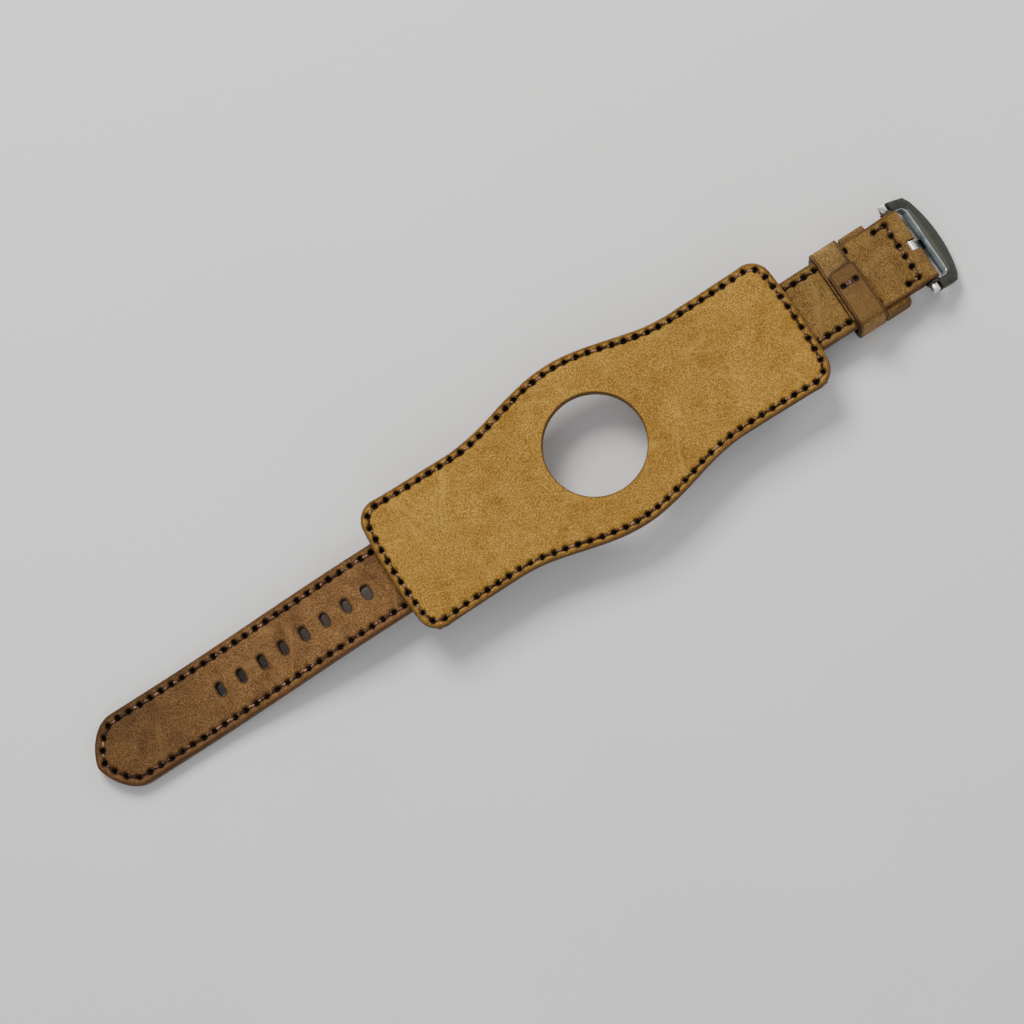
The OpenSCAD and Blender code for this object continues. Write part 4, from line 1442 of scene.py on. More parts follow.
@dataclass
class TailHalf:
    """The strap half with the adjusting holes and the rounded spear tip, drawn towards +X."""

    tip_x: float = 146.8
    spear_len: float = 9.4
    first_hole: float = 36.2
    hole_pitch: float = 6.25
    hole_count: int = 8
    hole_len: float = 1.8
    hole_w: float = 3.6
    hole_wear: float = 0.55
    rim_depth: float = 0.3
    rim_reach: float = 1.25
    drop_start: float = 64.0
    drop_len: float = 60.0
    rest_z: float = 0.27
    seam_inset: float = 2.1
    stitches: int = 82
    swell: Swell = Swell(8, 0.05, 17.0)
    tuck: float = 0.12
    tuck_from: float = 60.5
    tuck_to: float = 62.0

    def drop(self, x: Array) -> Array:
        """How far the tail has sunk, by a smooth step over the drop's length."""
        return (AT.strap_low - self.rest_z) * smooth(self.drop_start, self.drop_start + self.drop_len, x)

    def outline(self, low_x: float, step: float) -> Array:
        """Closed plan of the tail.

        The spear's half width is the strap's times (1 - (1 - d / length) ** 2) ** 0.72 at a
        distance d from the tip.

        Args:
            low_x: Station of the straight end.
            step: Distance between the points.

        Returns:
            The outline, counterclockwise from the tip.
        """
        d = self.spear_len * np.linspace(0, 1, 60) ** 2
        half = AT.strap_half * (1 - (1 - d / self.spear_len) ** 2) ** 0.72
        spear = np.stack([self.tip_x - d, half], axis=1)
        upper = np.concatenate([spear, [[low_x, AT.strap_half], [low_x, 0.0]]])
        return mirrored(stepped(upper, step))

    def cutters(self) -> list[Piece]:
        """Cutters of the adjusting holes; the one nearest the pad is stretched wider by use.

        Returns:
            One cutter for each hole.
        """
        made = []
        r = self.hole_len / 2
        reach = self.hole_w / 2 - r
        below, above = -2.0, 14.0
        for k in range(self.hole_count):
            x = -(self.tip_x - self.first_hole - k * self.hole_pitch)
            far = x - (self.hole_wear if k == self.hole_count - 1 else 0.0)
            corners = ((x, reach, 0), (far, reach, 90), (far, -reach, 180), (x, -reach, 270))
            profile = np.concatenate([arc((at, y), r, start, start + 90, 8) for at, y, start in corners])
            made.append(MeshMaker.prism("hole_cutter", profile, below, above, Plane.ACROSS))
        return made

    def from_hole(self, x: Field, y: Field) -> Field:
        """Distance from the straight middle of the nearest adjusting hole, on a tail towards -X."""
        count = (x + (self.tip_x - self.first_hole)) / self.hole_pitch
        along = (count - nearest(count, self.hole_count - 1)) * self.hole_pitch
        return hypot(along, largest(abs(y) - (self.hole_w - self.hole_len) / 2, 0.0))

    def lining(self) -> tuple[Piece, Plan]:
        """The lining with its seam, its gentle swell and rims that sink as a bell round each hole.

        Returns:
            The piece and its plan.
        """
        outline = self.outline(AT.lug_x + 6.0, 0.33)
        plan = Plan.spine_hub(outline, 31.0, self.tip_x - 8.0, 4.2, self.seam_inset, self.stitches)
        slab = Slab(plan, AT.strap_mid, AT.strap_top, Edge(0.5, 0.1, 0.08), 26, 0.2)
        grid, distance, flag = slab.grid()
        x, y = grid[..., 0], grid[..., 1]
        skip = (plan.outline[:, 0] < AT.lug_x + 6.5).astype(float)
        rims = self.rim_depth * np.exp(-((self.from_hole(-x, y) / self.rim_reach) ** 4))
        relief = SeamRelief().depth(plan, distance, skip) + rims
        shape = self.swell.over(grid, distance) - relief
        grid[..., 2] += np.where((flag == 1)[:, None], shape, 0.0) - self.drop(x)
        grid[..., 0] *= -1
        piece = MeshMaker.from_grid("tail_lining_leather", grid, (plan.phase(), distance), flip=True)
        MeshMaker.cut(piece, self.cutters())
        return piece, plan

    def front(self) -> Piece:
        """The front leather, turned round the spring bar and run out to the tip under the lining.

        Returns:
            The piece.
        """
        straight = np.array([[self.tip_x, AT.front_mid]])
        route = Route(softened(np.concatenate([lug_turn(), straight]), 0.25, 3), Plane.ALONG)
        run = lengths(route.points)[-1]
        outline = self.outline(0.0, 0.45)
        outline[:, 0] = outline[:, 0] * run / self.tip_x
        spear = outline[:, 0] > run * (1 - self.spear_len / self.tip_x)
        tip = run - (run - outline[:, 0]) * self.tip_x / run
        outline[:, 0] = np.where(spear, tip, outline[:, 0])
        plan = Plan.spine_hub(outline, 4.0, run - 8.0, 3.0, self.seam_inset, self.stitches)
        slab = Slab(plan, -1.0, 1.0, Edge(0.07, 0.35, 0.06), 7, 0.5)
        grid, distance, _ = slab.grid()
        grid[..., 2] *= pared(grid[..., 0]) / 2
        bent = route.bend(grid)
        bent[..., 2] -= self.drop(bent[..., 0])
        bent[..., 0] *= -1
        piece = MeshMaker.from_grid("tail_front_skin", bent, (plan.phase(), distance), flip=True)
        MeshMaker.cut(piece, self.cutters())
        return piece

    def threads(self, plan: Plan) -> Piece:
        """The seam's stitches on both faces, the upper ones tucked down where they go under the pad.

        Args:
            plan: Plan that holds the seam.

        Returns:
            One object of all the stitches.
        """
        holes = plan.holes()
        keep = (holes[:-1, 0] > AT.lug_x + 9.0) & (holes[1:, 0] > AT.lug_x + 9.0)
        halfway = (holes[:-1, 0] + holes[1:, 0])[keep] / 2
        tilt = (self.drop(halfway - 0.05) - self.drop(halfway + 0.05)) / 0.1
        starts, ends, ups = [], [], []
        for level, sign in ((AT.strap_top - 0.09, 1.0), (AT.strap_low + 0.09, -1.0)):
            for part, into in ((holes[:-1], starts), (holes[1:], ends)):
                x = part[keep, 0]
                tuck = self.tuck * (1 - smooth(self.tuck_from, self.tuck_to, x)) if sign > 0 else 0.0
                sunk = self.drop(x) + tuck
                into.append(np.stack([-x, part[keep, 1], level - sunk], axis=1))
            up = np.stack([tilt, np.zeros_like(tilt), np.ones_like(tilt)], axis=1) * sign
            ups.append(up / np.linalg.norm(up, axis=1, keepdims=True))
        rows = (np.concatenate(part) for part in (starts, ends, ups))
        return Stitching().build("tail_seam", *rows, seed=33)

    def build(self, finishes: Finishes) -> None:
        """Builds and dresses the tail half.

        Args:
            finishes: The strap's finishes.
        """
        lining, plan = self.lining()
        dress(lining, "tail_half", "tail_leather", [finishes.tail], "tail_lining")
        dress(self.front(), "tail_half", "tail_leather", [finishes.tail_front], "tail_front_leather")
        dress(self.threads(plan), "tail_half", "thread", [finishes.thread], "tail_thread")


@dataclass
class BuckleHalf:
    """The strap half that is folded round the buckle's bar, with its lining, seams and fixed keeper."""

    fold_r: float = 1.875
    fold_back_x: float = 73.6
    fold_taper: float = 6.0
    slot_w: float = 3.0
    pocket_r: float = 2.05
    keeper_low_x: float = 78.5
    keeper_w: float = 7.0
    keeper_t: float = 1.5
    keeper_room: float = 0.84
    seam_inset: float = 2.1
    row_start_x: float = 29.0
    row_end_x: float = 78.6
    column_x: float = 89.85
    column_count: int = 6
    fold_swell: Swell = Swell(14, 0.06, 12.0)
    lining_swell: Swell = Swell(17, 0.06, 12.0)

    @property
    def seam_y(self) -> float:
        """Distance of the edge rows from the strap's middle."""
        return AT.strap_half - self.seam_inset

    def route(self) -> Route:
        """Middle line of the front leather, from under the lining round both bars to its folded end.

        Returns:
            The route.
        """
        taper_x = AT.bar_x - self.fold_taper - 0.6
        points = np.concatenate([
            lug_turn(),
            [[taper_x, AT.front_mid]],
            arc((AT.bar_x, AT.strap_mid), self.fold_r, -104, 104, 40),
            [[taper_x, AT.lining_mid], [self.fold_back_x, AT.lining_mid]],
        ])
        return Route(softened(points, 0.2, 3), Plane.ALONG)

    def seam_place(self, x: Field, y: Field) -> tuple[Field, Field]:
        """Distances to the nearest awl hole and to the seams' lines, for the mesh and the finish.

        The holes stand at whole pitches of two straight rows, of the column across the fold and of
        the stitch that turns back at each of its ends.

        Args:
            x: Station of each point.
            y: Distance of each point from the strap's middle, with its sign.

        Returns:
            The distance to the nearest hole and the distance to the lines.
        """
        off = abs(y) - self.seam_y
        steps = (x - self.row_start_x) / AT.pitch
        past = largest(x - self.row_end_x, 0.0)
        row = hypot((steps - nearest(steps)) * AT.pitch + past * 3.0, off)
        gap = 2 * self.seam_y / (self.column_count - 1)
        count = (y + self.seam_y) / gap
        column = hypot((count - nearest(count, self.column_count - 1)) * gap, x - self.column_x)
        back_x = self.column_x - AT.pitch
        line = smallest(
            largest(abs(off), past),
            largest(abs(x - self.column_x), off),
            largest(abs(off), back_x - x, x - self.column_x),
        )
        return smallest(row, column, hypot(x - back_x, off)), line

    def front(self) -> Piece:
        """The folded leather, with the tang's slot and pocket cut in its turn.

        Returns:
            The piece.
        """
        route = self.route()
        run = lengths(route.points)[-1]
        outline = strip_outline(0.0, run, AT.strap_half, 0.5, 0.5, 0.3)
        plan = Plan.spine_hub(outline, 7.0, run - 7.0, 3.6, self.seam_inset, 80)
        slab = Slab(plan, -1.0, 1.0, Edge(0.1, 0.42, 0.06), 20, 0.2, fine_under=True)
        grid, distance, flag = slab.grid()
        thick = pared(grid[..., 0])
        middle = route.bend(grid * [1.0, 1.0, 0.0])
        over = middle[..., 2] > AT.strap_mid
        low_x, high_x = self.keeper_low_x - 0.3, self.keeper_low_x + self.keeper_w + 0.3
        room = smooth(low_x - 0.6, low_x, middle[..., 0]) - smooth(high_x, high_x + 0.6, middle[..., 0])
        inner = thick / 2 - np.where(over, self.keeper_room * room, 0.0)
        grid[..., 2] = np.where(grid[..., 2] > 0, grid[..., 2] * inner, grid[..., 2] * thick / 2)
        outer = (flag == -1)[:, None]
        press = SeamRelief().pressed(*self.seam_place(middle[..., 0], grid[..., 1])) * over
        grid[..., 2] += np.where(outer, press - self.fold_swell.over(grid, distance), 0.0)
        piece = MeshMaker.from_grid("buckle_fold_leather", route.bend(grid), (plan.phase(), distance))
        x, z = AT.bar_x, AT.strap_mid
        profile = np.concatenate([
            [[x, z + 4.0], [x, z + self.pocket_r]],
            arc((x, z), self.pocket_r, 90, 180, 12),
            [[x - self.pocket_r, z - 4.0], [x + 4.0, z - 4.0], [x + 4.0, z + 4.0]],
        ])
        cutter = MeshMaker.prism("slot_cutter", profile, -self.slot_w / 2, self.slot_w / 2, Plane.ALONG)
        MeshMaker.cut(piece, [cutter])
        return piece

    def lining(self) -> Piece:
        """The lining between the pad and the folded end.

        Returns:
            The piece.
        """
        low_x, high_x = AT.lug_x + 6.0, self.fold_back_x
        outline = strip_outline(low_x, high_x, AT.strap_half, 0.3, 0.3, 0.28)
        plan = Plan.spine_hub(outline, low_x + 8.0, high_x - 8.0, 3.8, self.seam_inset, 40)
        slab = Slab(plan, AT.strap_mid, AT.strap_top, Edge(0.42, 0.1, 0.06), 18, 0.2)
        grid, distance, flag = slab.grid()
        press = SeamRelief().pressed(*self.seam_place(grid[..., 0], grid[..., 1]))
        shape = self.lining_swell.over(grid, distance) - press
        grid[..., 2] += np.where((flag == 1)[:, None], shape, 0.0)
        return MeshMaker.from_grid("buckle_lining_leather", grid, (plan.phase(), distance))

    def threads(self) -> Piece:
        """Stitches of the two edge rows and of the seam across the fold, on both faces.

        Returns:
            One object of all the stitches.
        """
        level = AT.strap_top - 0.09
        x = np.arange(self.row_start_x, self.row_end_x + 0.1, AT.pitch)
        edges = (np.full(len(x), y) for y in (-self.seam_y, self.seam_y))
        runs = [np.stack([x, y, np.full(len(x), level)], axis=1) for y in edges]
        y = np.linspace(self.seam_y, -self.seam_y, self.column_count)
        y = np.concatenate([y[:1], y, y[-1:]])
        column_x = np.full(self.column_count + 2, self.column_x)
        column_x[[0, -1]] -= AT.pitch
        # The folded leather has swelled towards the bar where the column stands.
        swelling = [AT.bar_x - self.fold_taper - 0.3, AT.bar_x - 0.4]
        rise = np.interp(column_x, swelling, [0.0, 0.98])
        runs.append(np.stack([column_x, y, level + rise], axis=1))
        start, end = (np.concatenate([run[part] for run in runs]) for part in (slice(-1), slice(1, None)))
        turn = np.array([1.0, 1.0, -1.0])
        under = np.array([0.0, 0.0, AT.strap_low + AT.strap_top])
        up = np.zeros_like(start)
        up[:, 2] = 1.0
        pairs = ((start, start * turn + under), (end, end * turn + under), (up, -up))
        return Stitching().build("buckle_half_seams", *(np.concatenate(pair) for pair in pairs), seed=45)

    def fixed_keeper(self) -> Piece:
        """A closed loop of leather round the strap's front, held between the two legs of the fold.

        A rectangle with rounded corners, as wide as the keeper and as thick as its leather, is
        carried round between an outer and an inner rounded box.

        Returns:
            The piece.
        """
        inner, top = AT.strap_half + 0.1, AT.strap_mid + 0.8

        def box(half: float, low: float, high: float, r: float) -> Array:
            """Closed rounded box in Y and Z from its half width, floor, top and corner radius."""
            corners = ((1, high - r, 0), (-1, high - r, 90), (-1, low + r, 180), (1, low + r, 270))
            turns = [arc((side * (half - r), z), r, start, start + 90, 10) for side, z, start in corners]
            share = np.linspace(0, 1, 25)[:-1, None]
            parts = []
            for here, there in zip(turns, turns[1:] + turns[:1]):
                parts += [here[:-1], here[-1] + (there[0] - here[-1]) * share]
            return np.concatenate(parts)

        out = box(inner + self.keeper_t, 0.0, top, 1.1)
        into = box(inner, self.keeper_t, AT.strap_mid + 0.02, 0.4)
        thick = np.linalg.norm(out - into, axis=1)[None]
        r = 0.28
        turn = np.radians(np.concatenate([np.linspace(90 * k, 90 * k + 90, 6) for k in range(4)]))[:, None]
        right = np.repeat([1, -1, -1, 1], 6)[:, None]
        above = np.repeat([1, 1, -1, -1], 6)[:, None]
        wide = right * (self.keeper_w / 2 - r) + r * np.cos(turn)
        wide = wide + 0.09 * np.sin(np.arange(out.shape[0]) * math.tau / out.shape[0] * 3)[None] * right
        deep = np.where(above > 0, thick - r, r) + r * np.sin(turn)
        edge = into[None] + (out - into)[None] * (deep / thick)[..., None]
        grid = np.concatenate([(self.keeper_low_x + self.keeper_w / 2 + wide)[..., None], edge], axis=2)
        distance = self.keeper_w / 2 - np.abs(wide[:, 0])
        run = lengths(np.concatenate([out, out[:1]]))
        piece = MeshMaker.from_grid("fixed_keeper_loop", grid, (run / AT.pitch, distance), wrap_rows=True)
        MeshMaker.turn_out(piece.data)
        return piece

    def build(self, finishes: Finishes) -> None:
        """Builds and dresses the buckle half.

        Args:
            finishes: The strap's finishes.
        """
        body, slot = "buckle_half", "buckle_leather"
        dress(self.front(), body, slot, [finishes.buckle], "buckle_front_leather")
        dress(self.lining(), body, slot, [finishes.buckle], "buckle_lining")
        dress(self.threads(), body, "thread", [finishes.thread], "buckle_thread")
        dress(self.fixed_keeper(), body, "keeper_leather", [finishes.loop], "fixed_keeper")


@dataclass
class SlidingKeeper:
    """The sliding keeper: a strip wound once round the strap, its end lapped over and stitched."""

    low_x: float = 70.6
    width: float = 7.6
    half: float = 10.95
    floor_z: float = 0.75
    under_z: float = 10.48
    flap_z: float = 11.92
    flap_end_y: float = 4.6
    corner_r: float = 1.5
    stitch: float = 3.5
    lead: float = 0.6
    thick: float = 1.45
    swell: Swell = Swell(19, 0.06, 7.0, 1.2)
    pit_depth: float = 0.6
    trough_depth: float = 0.25
    end_sink: float = 0.12

    def route(self) -> Route:
        """Middle line of the strip, from its lapped start round the strap to the flap's end.

        Returns:
            The route.
        """
        r = 1.35
        points = np.concatenate([
            [[-8.6, self.under_z]],
            arc((self.half - r, self.under_z - r), r, 90, 0, 10),
            arc((self.half - r, self.floor_z + r), r, 0, -90, 10),
            arc((-self.half + r, self.floor_z + r), r, 270, 180, 10),
            arc((-self.half + 1.9, self.flap_z - 1.9), 1.9, 180, 90, 12),
            [[self.flap_end_y, self.flap_z]],
        ])
        return Route(softened(points, 0.2, 2), Plane.ACROSS, self.low_x + self.width / 2)

    def strip(self) -> Piece:
        """The strip, which starts a little nearer the pad than it ends, as wound by hand.

        Returns:
            The piece.
        """
        route = self.route()
        run = lengths(route.points)[-1]
        outline = strip_outline(0.0, run, self.width / 2, 0.3, self.corner_r, 0.24)
        plan = Plan.spine_hub(outline, 2.6, run - 2.6, 1.5, 1.0, 40)
        slab = Slab(plan, -1.0, 1.0, Edge(0.4, 0.1, 0.05), 9, 0.14)
        grid, distance, flag = slab.grid()
        grid[..., 2] *= self.thick / 2
        swell = self.swell.over(grid, distance)
        from_end = run - grid[..., 0]
        from_stitch = self.flap_end_y - from_end
        pits = np.zeros_like(swell)
        for side in (-1, 1):
            ring = np.hypot(from_stitch * 0.9, (grid[..., 1] - side * self.stitch / 2) * 0.72)
            pits = np.maximum(pits, self.pit_depth * np.exp(-((ring / 0.6) ** 3)))
        trough = self.trough_depth * np.exp(-((from_stitch / 0.55) ** 2))
        trough = trough * (np.abs(grid[..., 1]) < self.stitch / 2)
        settle = self.end_sink * smooth(2.2, 0.0, from_end)
        grid[..., 2] += np.where((flag == 1)[:, None], swell - np.maximum(pits, trough), 0.0) - settle
        bent = route.bend(grid)
        bent[..., 0] -= self.lead * (1 - smooth(run * 0.25, run - 9.0, grid[..., 0]))
        return MeshMaker.from_grid("sliding_keeper_strip", bent, (plan.phase(), distance))

    def build(self, finishes: Finishes) -> None:
        """Builds and dresses the strip and its stitch of two strands.

        Args:
            finishes: The strap's finishes.
        """
        dress(self.strip(), "sliding_keeper", "keeper_leather", [finishes.keeper], "free_keeper")
        x = self.low_x + self.width / 2
        z = self.flap_z + self.thick / 2 - 0.05
        start = np.array([[x - self.stitch / 2, 0.2, z], [x - self.stitch / 2, -0.2, z]])
        up = np.array([[0.0, 0.0, 1.0]] * 2)
        sewing = Stitching(width=0.46, slant=0.04, dip=0.6, crown=0.1)
        thread = sewing.build("keeper_flap_stitch", start, start + [self.stitch, 0.0, 0.0], up, 3)
        dress(thread, "sliding_keeper", "thread", [finishes.pale_thread], "free_keeper_stitch")


@dataclass
class Buckle:
    """The plate frame, the tang and the bar's two screws, all turned about the bar."""

    frame_turn: float = 37.36
    tang_turn: float = 50.571
    ear_in: float = 10.0
    ear_t: float = 0.8
    ear_r: float = 1.45
    arm_start: float = 1.6
    arm_out: float = 12.9
    bow_half: float = 12.6
    inner_x: float = 6.0
    corner_x: float = 8.1
    crown_x: float = 11.1
    corner_r: float = 1.2
    thick: float = 2.2
    bevel: float = 0.2
    notch_half: float = 1.55
    notch_deep: float = 0.5
    notch_end: float = 9.8
    tang_w: float = 2.7
    tang_t: float = 1.1
    tang_narrow: float = 5.4
    tang_reach: float = 9.4
    ring_r: float = 1.9
    bar_r: float = 1.0
    shank_r: float = 0.6
    head_r: float = 1.1
    head_len: float = 2.08

    def solid(
        self, name: str, local: Array, turn: float, wrap_rows: bool = False, wrap_cols: bool = True
    ) -> Piece:
        """A closed shape, turned down about the bar, with its faces turned outwards.

        Args:
            name: Name of the piece.
            local: Grid of points with the bar along Y through the origin.
            turn: Angle in degrees by which +X is turned towards -Z.
            wrap_rows: Whether the last row joins the first.
            wrap_cols: Whether the last column joins the first.

        Returns:
            The piece.
        """
        c, s = math.cos(math.radians(turn)), math.sin(math.radians(turn))
        x = local[..., 0] * c + local[..., 2] * s + AT.bar_x
        z = -local[..., 0] * s + local[..., 2] * c + AT.strap_mid
        grid = np.stack([x, local[..., 1], z], axis=-1)
        piece = MeshMaker.from_grid(name, grid, wrap_rows=wrap_rows, wrap_cols=wrap_cols)
        MeshMaker.turn_out(piece.data)
        return piece

    def block(self, name: str, low: Sequence[float], high: Sequence[float]) -> Piece:
        """A closed box between its lowest and highest corners in the frame's axes, hung with it."""
        ring = np.array([[low[0], low[2]], [high[0], low[2]], [high[0], high[2]], [low[0], high[2]]])
        rows = [np.insert(ring, 1, y, axis=1) for y in (low[1], high[1])]
        ends = [row.mean(0, keepdims=True).repeat(4, 0) for row in rows]
        return self.solid(name, np.stack([ends[0], *rows, ends[1]]), self.frame_turn)

    def lines(self) -> tuple[Array, Array]:
        """Outer and inner lines of the plate, each point of one beside its point of the other.

        The outer line is a shallow arc over the bow, a small corner and the straight arm; the inner
        line is straight, with a cut corner, and straight again.

        Returns:
            The outer line and the inner line.
        """
        rise = self.crown_x - self.corner_x
        bow_r = (self.bow_half**2 + rise**2) / (2 * rise)
        angle = math.degrees(math.asin(self.bow_half / bow_r))
        r, cut = self.corner_r, 0.3
        bow = arc((self.crown_x - bow_r, 0.0), bow_r, 0, angle - 4, 40)
        corner = arc((self.corner_x - r, self.bow_half - r), r, angle, 88, 14)
        corner = np.concatenate([bow[-1:], corner])
        turn = np.concatenate([
            arc((self.inner_x - cut, self.ear_in - 1.25), cut, 0, 40, 6),
            arc((self.inner_x - 1.15, self.ear_in - 0.35), cut, 45, 88, 6),
        ])
        straight = np.array([[self.inner_x, 0.0], turn[0]])
        outer = (bow, corner, np.array([corner[-1], [self.arm_start, self.arm_out]]))
        inner = (straight, turn, np.array([turn[-1], [self.arm_start, self.ear_in]]))
        whole = []
        for parts in (outer, inner):
            half = [resampled(part, count)[:-1] for part, count in zip(parts, (64, 18, 26))]
            line = np.concatenate([*half, parts[2][-1:]])
            whole.append(np.concatenate([line[:0:-1] * [1.0, -1.0], line]))
        return whole[0], whole[1]

    def plate(self) -> Piece:
        """The frame's plate: a section carried from one arm's end round the bow to the other's.

        The section is a rectangle with small cut corners, whose upper inner corner is the broad
        polished bevel along the bow; a notch for the tang is cut in its lower face.

        Returns:
            The plate, whose faces know which of its three finishes they get.
        """
        out, into = self.lines()
        wide = np.linalg.norm(out - into, axis=1)
        h, small = self.thick / 2, 0.12
        bevel = self.bevel * smooth(0.0, 0.6, into[:, 0] - (self.inner_x - 1.0))
        flat = 0 * wide
        steps = (
            (flat, small - h + flat), (flat, h - small - bevel),
            (small + bevel, h + flat), (wide - small, h + flat),
            (wide, h - small + flat), (wide, small - h + flat),
            (wide - small, flat - h), (small + flat, flat - h),
        )
        rows = []
        for off, z in steps:
            place = into + (out - into) * (off / wide)[:, None]
            rows.append(np.concatenate([place, z[:, None]], axis=1))
        grid = np.stack(rows)
        ends = [grid.mean(axis=0, keepdims=True)[:, [k]].repeat(len(rows), 0) for k in (0, -1)]
        closed = np.concatenate([ends[0], grid, ends[1]], axis=1)
        piece = self.solid("buckle_plate", closed, self.frame_turn, True, False)
        low = (self.inner_x - 1.0, -self.notch_half, -h - 1.0)
        notch = self.block("notch", low, (self.notch_end, self.notch_half, self.notch_deep - h))
        MeshMaker.cut(piece, [notch])
        self.mark_polished(piece)
        return piece

    def mark_polished(self, piece: Piece) -> None:
        """Marks the bevel's faces with 1, for polish, and the opening's inner wall with 2, for satin.

        Args:
            piece: The plate.
        """
        mesh = piece.data
        centre = np.zeros(len(mesh.polygons) * 3)
        mesh.polygons.foreach_get("center", centre)
        centre = centre.reshape(-1, 3) / MM - [PAD_MIDDLE_X + AT.bar_x, 0.0, AT.strap_mid]
        c, s = math.cos(math.radians(self.frame_turn)), math.sin(math.radians(self.frame_turn))
        x, z = centre[:, 0] * c - centre[:, 2] * s, centre[:, 0] * s + centre[:, 2] * c
        inside = (np.abs(centre[:, 1]) < self.ear_in + 0.08) & (x < self.inner_x + self.bevel * 0.8)
        inside &= (z < self.thick / 2 - 0.02) & (x > self.arm_start)
        low = z < self.thick / 2 - self.bevel - 0.13
        mesh.polygons.foreach_set("material_index", np.where(inside, 1 + low, 0).astype(np.int32))

    def lathe(self, name: str, profile: Array, ring: bool = False) -> Piece:
        """A turned piece about the bar's axis.

        Args:
            name: Name of the piece.
            profile: Station along Y and radius of each point, from one end to the other.
            ring: Whether the profile's ends are joined, for a piece with a hole.

        Returns:
            The piece, hung with the frame.
        """
        sides = 48
        angle = math.tau * np.arange(sides) / sides
        y, r = profile[:, :1], profile[:, 1:]
        along = np.broadcast_to(y, (len(profile), sides))
        local = np.stack([r * np.cos(angle), along, r * np.sin(angle)], axis=-1)
        return self.solid(name, local, self.frame_turn, ring)

    def ears(self) -> list[Piece]:
        """The two ears that hold the bar, each a disc with a short plate into its arm.

        Returns:
            The discs and the plates.
        """
        made = []
        small, r, h = 0.08, self.ear_r, self.thick / 2
        low, high, bore = self.ear_in, self.ear_in + self.ear_t, self.shank_r + 0.02
        profile = np.array([
            [low, bore], [low, r - small], [low + small, r],
            [high - small, r], [high, r - small], [high, bore],
        ])
        for side in (-1, 1):
            made.append(self.lathe("ear", profile * [side, 1.0], ring=True))
            first, last = sorted((side * low, side * high))
            made.append(self.block("tab", (0.7, first, -h), (self.arm_start + 0.6, last, h)))
        return made

    def screws(self) -> Piece:
        """The two slotted screws, their heads outside the ears.

        Returns:
            One object of both.
        """
        made = []
        r, soft, slot, small = self.head_r, 0.36, 0.2, 0.12
        low = self.ear_in + self.ear_t + 0.02
        high = low + self.head_len
        shank = [[low - 5.0, 0.0], [low - 5.0, self.shank_r], [low, self.shank_r]]
        under = [[low, r - small], [low + small, r]]
        profile = np.concatenate([shank, under, arc((high - soft, r - soft), soft, 90, 0, 8), [[high, 0.0]]])
        for side in (-1, 1):
            screw = self.lathe("screw", profile * [side, 1.0])
            first, last = sorted((side * (high - 0.5), side * (high + 0.5)))
            MeshMaker.cut(screw, [self.block("slot", (-slot, first, -2.0), (slot, last, 2.0))])
            made.append(screw)
        return MeshMaker.joined("buckle_screws", made)

    def tang(self) -> Piece:
        """The tang: its side profile drawn out across its width, with a bored ring and a narrow point.

        Returns:
            The piece.
        """
        h = self.tang_t / 2
        root = math.degrees(math.asin(h / self.ring_r)) + 12
        tip = arc((self.tang_reach - h, 0.0), h, 0, 90, 8)
        upper = np.concatenate([tip, [[2.6, h]], [[2.2, h + 0.06]], arc((0, 0), self.ring_r, root, 180, 40)])
        outline = mirrored(resampled(upper, 110))
        normal = Plan.normals(outline)
        angle = np.arctan2(outline[:, 1], outline[:, 0])
        away = smooth(2.2, 6.0, outline[:, 0])
        angle = angle * (1 - away) + away * np.sign(outline[:, 1]) * 0.12
        radial = np.stack([np.cos(angle), np.sin(angle)], axis=1)
        plan = Plan(outline, -normal, radial * self.bar_r, radial, 0.3, 0.2, 20)
        slab = Slab(plan, -self.tang_w / 2, self.tang_w / 2, Edge(0.16, 0.16, 0.0, 0.06), 5, 0.12)
        grid, _, _ = slab.grid()
        narrow = 1 - 0.4 * smooth(self.tang_narrow, self.tang_reach, grid[..., 0]) ** 2
        local = np.stack([grid[..., 0], -grid[..., 2] * narrow, grid[..., 1]], axis=-1)
        return self.solid("buckle_tang_bar", local, self.tang_turn, True)

    def build(self, finishes: Finishes) -> None:
        """Builds and dresses the buckle.

        Args:
            finishes: The strap's finishes.
        """
        plate = MeshMaker.joined("buckle_frame_plate", [self.plate(), *self.ears()])
        steels = [finishes.plate, finishes.bevel, finishes.wall]
        dress(plate, "frame", "buckle_steel", steels, "buckle_frame")
        dress(self.screws(), "frame", "bright_steel", [finishes.bright], "buckle_bar_screws")
        dress(self.tang(), "tang", "bright_steel", [finishes.tang], "buckle_tang")


class HiddenMetal:
    """Spring bars and the buckle bar's tube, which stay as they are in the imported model."""

    NODES = (
        "tail_bar_tube", "tail_bar_tip_left", "tail_bar_tip_right",
        "buckle_side_bar_tube", "buckle_side_bar_tip_left", "buckle_side_bar_tip_right", "buckle_bar_tube",
    )
    SPRINGS = ("tail_bar_spring", "buckle_side_bar_spring")

    def build(self, finishes: Finishes) -> None:
        """Gives each of these nodes its turned or drawn finish.

        Args:
            finishes: The strap's finishes.
        """
        for names, material in ((self.NODES, finishes.bright), (self.SPRINGS, finishes.wire)):
            for name in names:
                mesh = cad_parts[name].data
                mesh.materials.clear()
                mesh.materials.append(material)


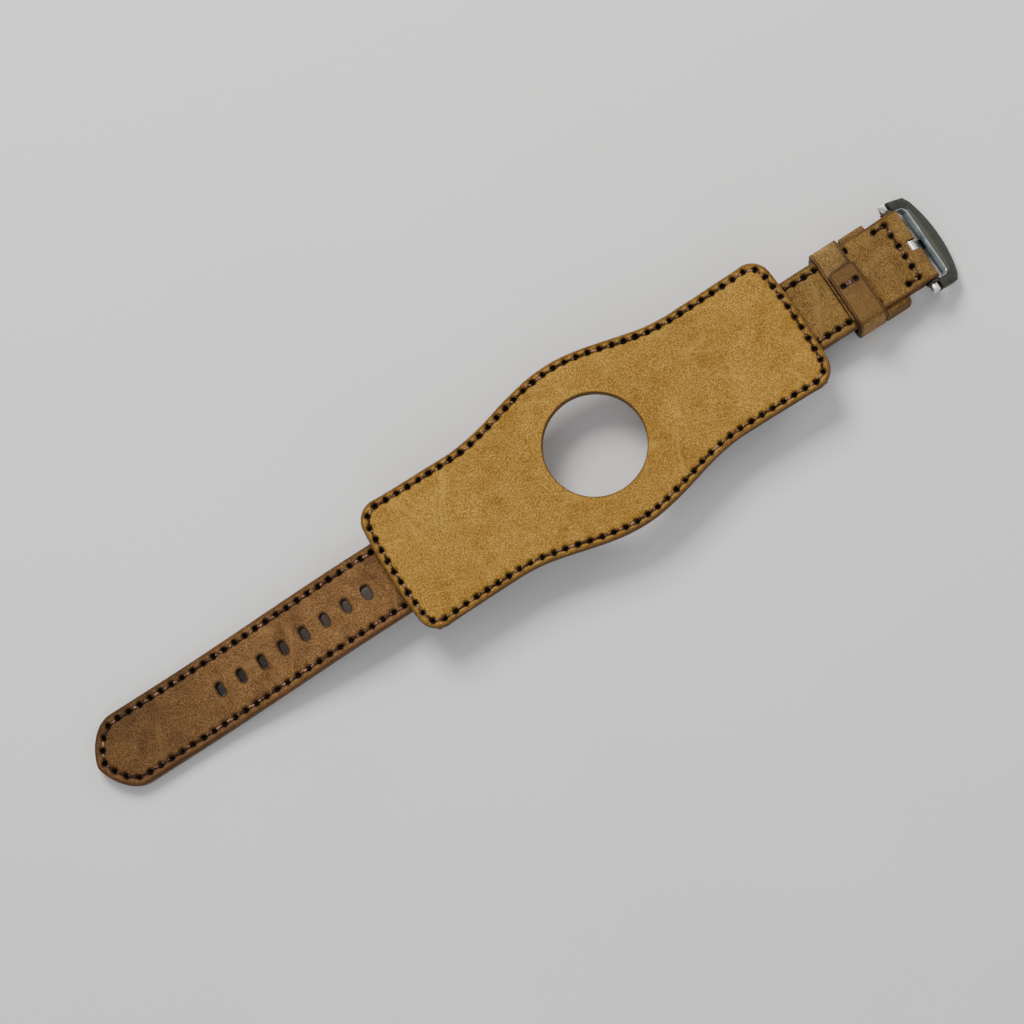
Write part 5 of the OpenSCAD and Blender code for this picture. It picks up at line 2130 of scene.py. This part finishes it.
@dataclass
class Studio:
    """Pale table, soft light and the camera at the photograph's angle."""

    lens: float = 100.0
    azimuth: float = -95.0
    tilt: float = 10.0
    roll: float = -27.55
    distance: float = 0.7028
    target: tuple[float, float, float] = (-0.00339, -0.00237, 0.008)
    table_half: float = 2.5
    table_z: float = -0.00004

    @staticmethod
    def placed(thing: Piece, *columns: Array) -> None:
        """Places an object by its right, upward and backward directions and its place."""
        rows = np.stack(columns, axis=1).tolist()
        thing.matrix_world = Matrix([*rows, [0.0, 0.0, 0.0, 1.0]])

    def camera(self) -> None:
        """Places the camera by its tilt from the vertical, its bearing and its roll."""
        az, tilt, roll = (math.radians(a) for a in (self.azimuth, self.tilt, self.roll))
        back = np.array([math.sin(tilt) * math.cos(az), math.sin(tilt) * math.sin(az), math.cos(tilt)])
        up = np.array([-math.cos(tilt) * math.cos(az), -math.cos(tilt) * math.sin(az), math.sin(tilt)])
        right = np.cross(up, back)
        turned_right = math.cos(roll) * right + math.sin(roll) * up
        turned_up = -math.sin(roll) * right + math.cos(roll) * up
        data = bpy.data.cameras.new("camera")
        data.lens, data.sensor_width = self.lens, 36.0
        data.clip_start, data.clip_end = 0.01, 10.0
        camera = linked("camera", data)
        place = np.array(self.target) + self.distance * back
        self.placed(camera, turned_right, turned_up, back, place)
        bpy.context.scene.camera = camera

    def light(self, name: str, place: Sequence[float], size: float, power: float, tint: Colour) -> None:
        """Adds a square soft light that faces the strap.

        Args:
            name: Name of the light.
            place: Where it stands, in metres.
            size: Length of its side.
            power: Its power in watts.
            tint: Its colour.
        """
        data = bpy.data.lights.new(name, "AREA")
        data.shape, data.size, data.energy, data.color = "SQUARE", size, power, tint
        back = np.array(place) / np.linalg.norm(place)
        right = np.cross([0.0, 0.0, 1.0], back)
        right = right / np.linalg.norm(right)
        self.placed(linked(name, data), right, np.cross(back, right), back, np.array(place))

    def floor(self) -> None:
        """Adds the pale table top, with a faint uneven tone."""
        half, z = self.table_half, self.table_z
        mesh = bpy.data.meshes.new("table_top")
        corners = [(-half, -half, z), (half, -half, z), (half, half, z), (-half, half, z)]
        mesh.from_pydata(corners, [], [(0, 1, 2, 3)])
        top = linked("table_top", mesh)
        material, g, shader, place = new_material("pale_table")
        tone = g.ramp(g.noise(place, 9.0, 4.0), 0.3, 0.7)
        g.feed(shader.inputs["Base Color"], g.mix(tone, (0.77, 0.765, 0.75), (0.8, 0.795, 0.785)))
        g.feed(shader.inputs["Roughness"], g.ramp(tone, 0.0, 1.0, 0.62, 0.72))
        mesh.materials.append(material)

    def build(self) -> None:
        """Adds the camera, the lights, the world and the table."""
        self.camera()
        self.light("key", (0.05, 0.62, 0.72), 0.42, 9.0, (1.0, 0.975, 0.94))
        self.light("fill", (-0.5, -0.7, 0.8), 0.9, 3.0, (0.93, 0.96, 1.0))
        self.light("side", (0.8, 0.14, 0.48), 0.3, 1.6, (1.0, 0.99, 0.97))
        world = bpy.data.worlds.new("studio")
        world.use_nodes = True
        background = world.node_tree.nodes["Background"]
        background.inputs["Color"].default_value = (0.94, 0.96, 1.0, 1.0)
        background.inputs["Strength"].default_value = 0.42
        bpy.context.scene.world = world
        self.floor()


def main() -> None:
    """Builds the studio and every sub-assembly in order."""
    logging.basicConfig(level=logging.INFO, format="%(message)s")
    Studio().build()
    finishes = Finishes()
    for assembly in (WristPad(), TailHalf(), BuckleHalf(), SlidingKeeper(), Buckle(), HiddenMetal()):
        assembly.build(finishes)
        LOG.info("built %s", type(assembly).__name__)


if __name__ == "__main__":
    main()
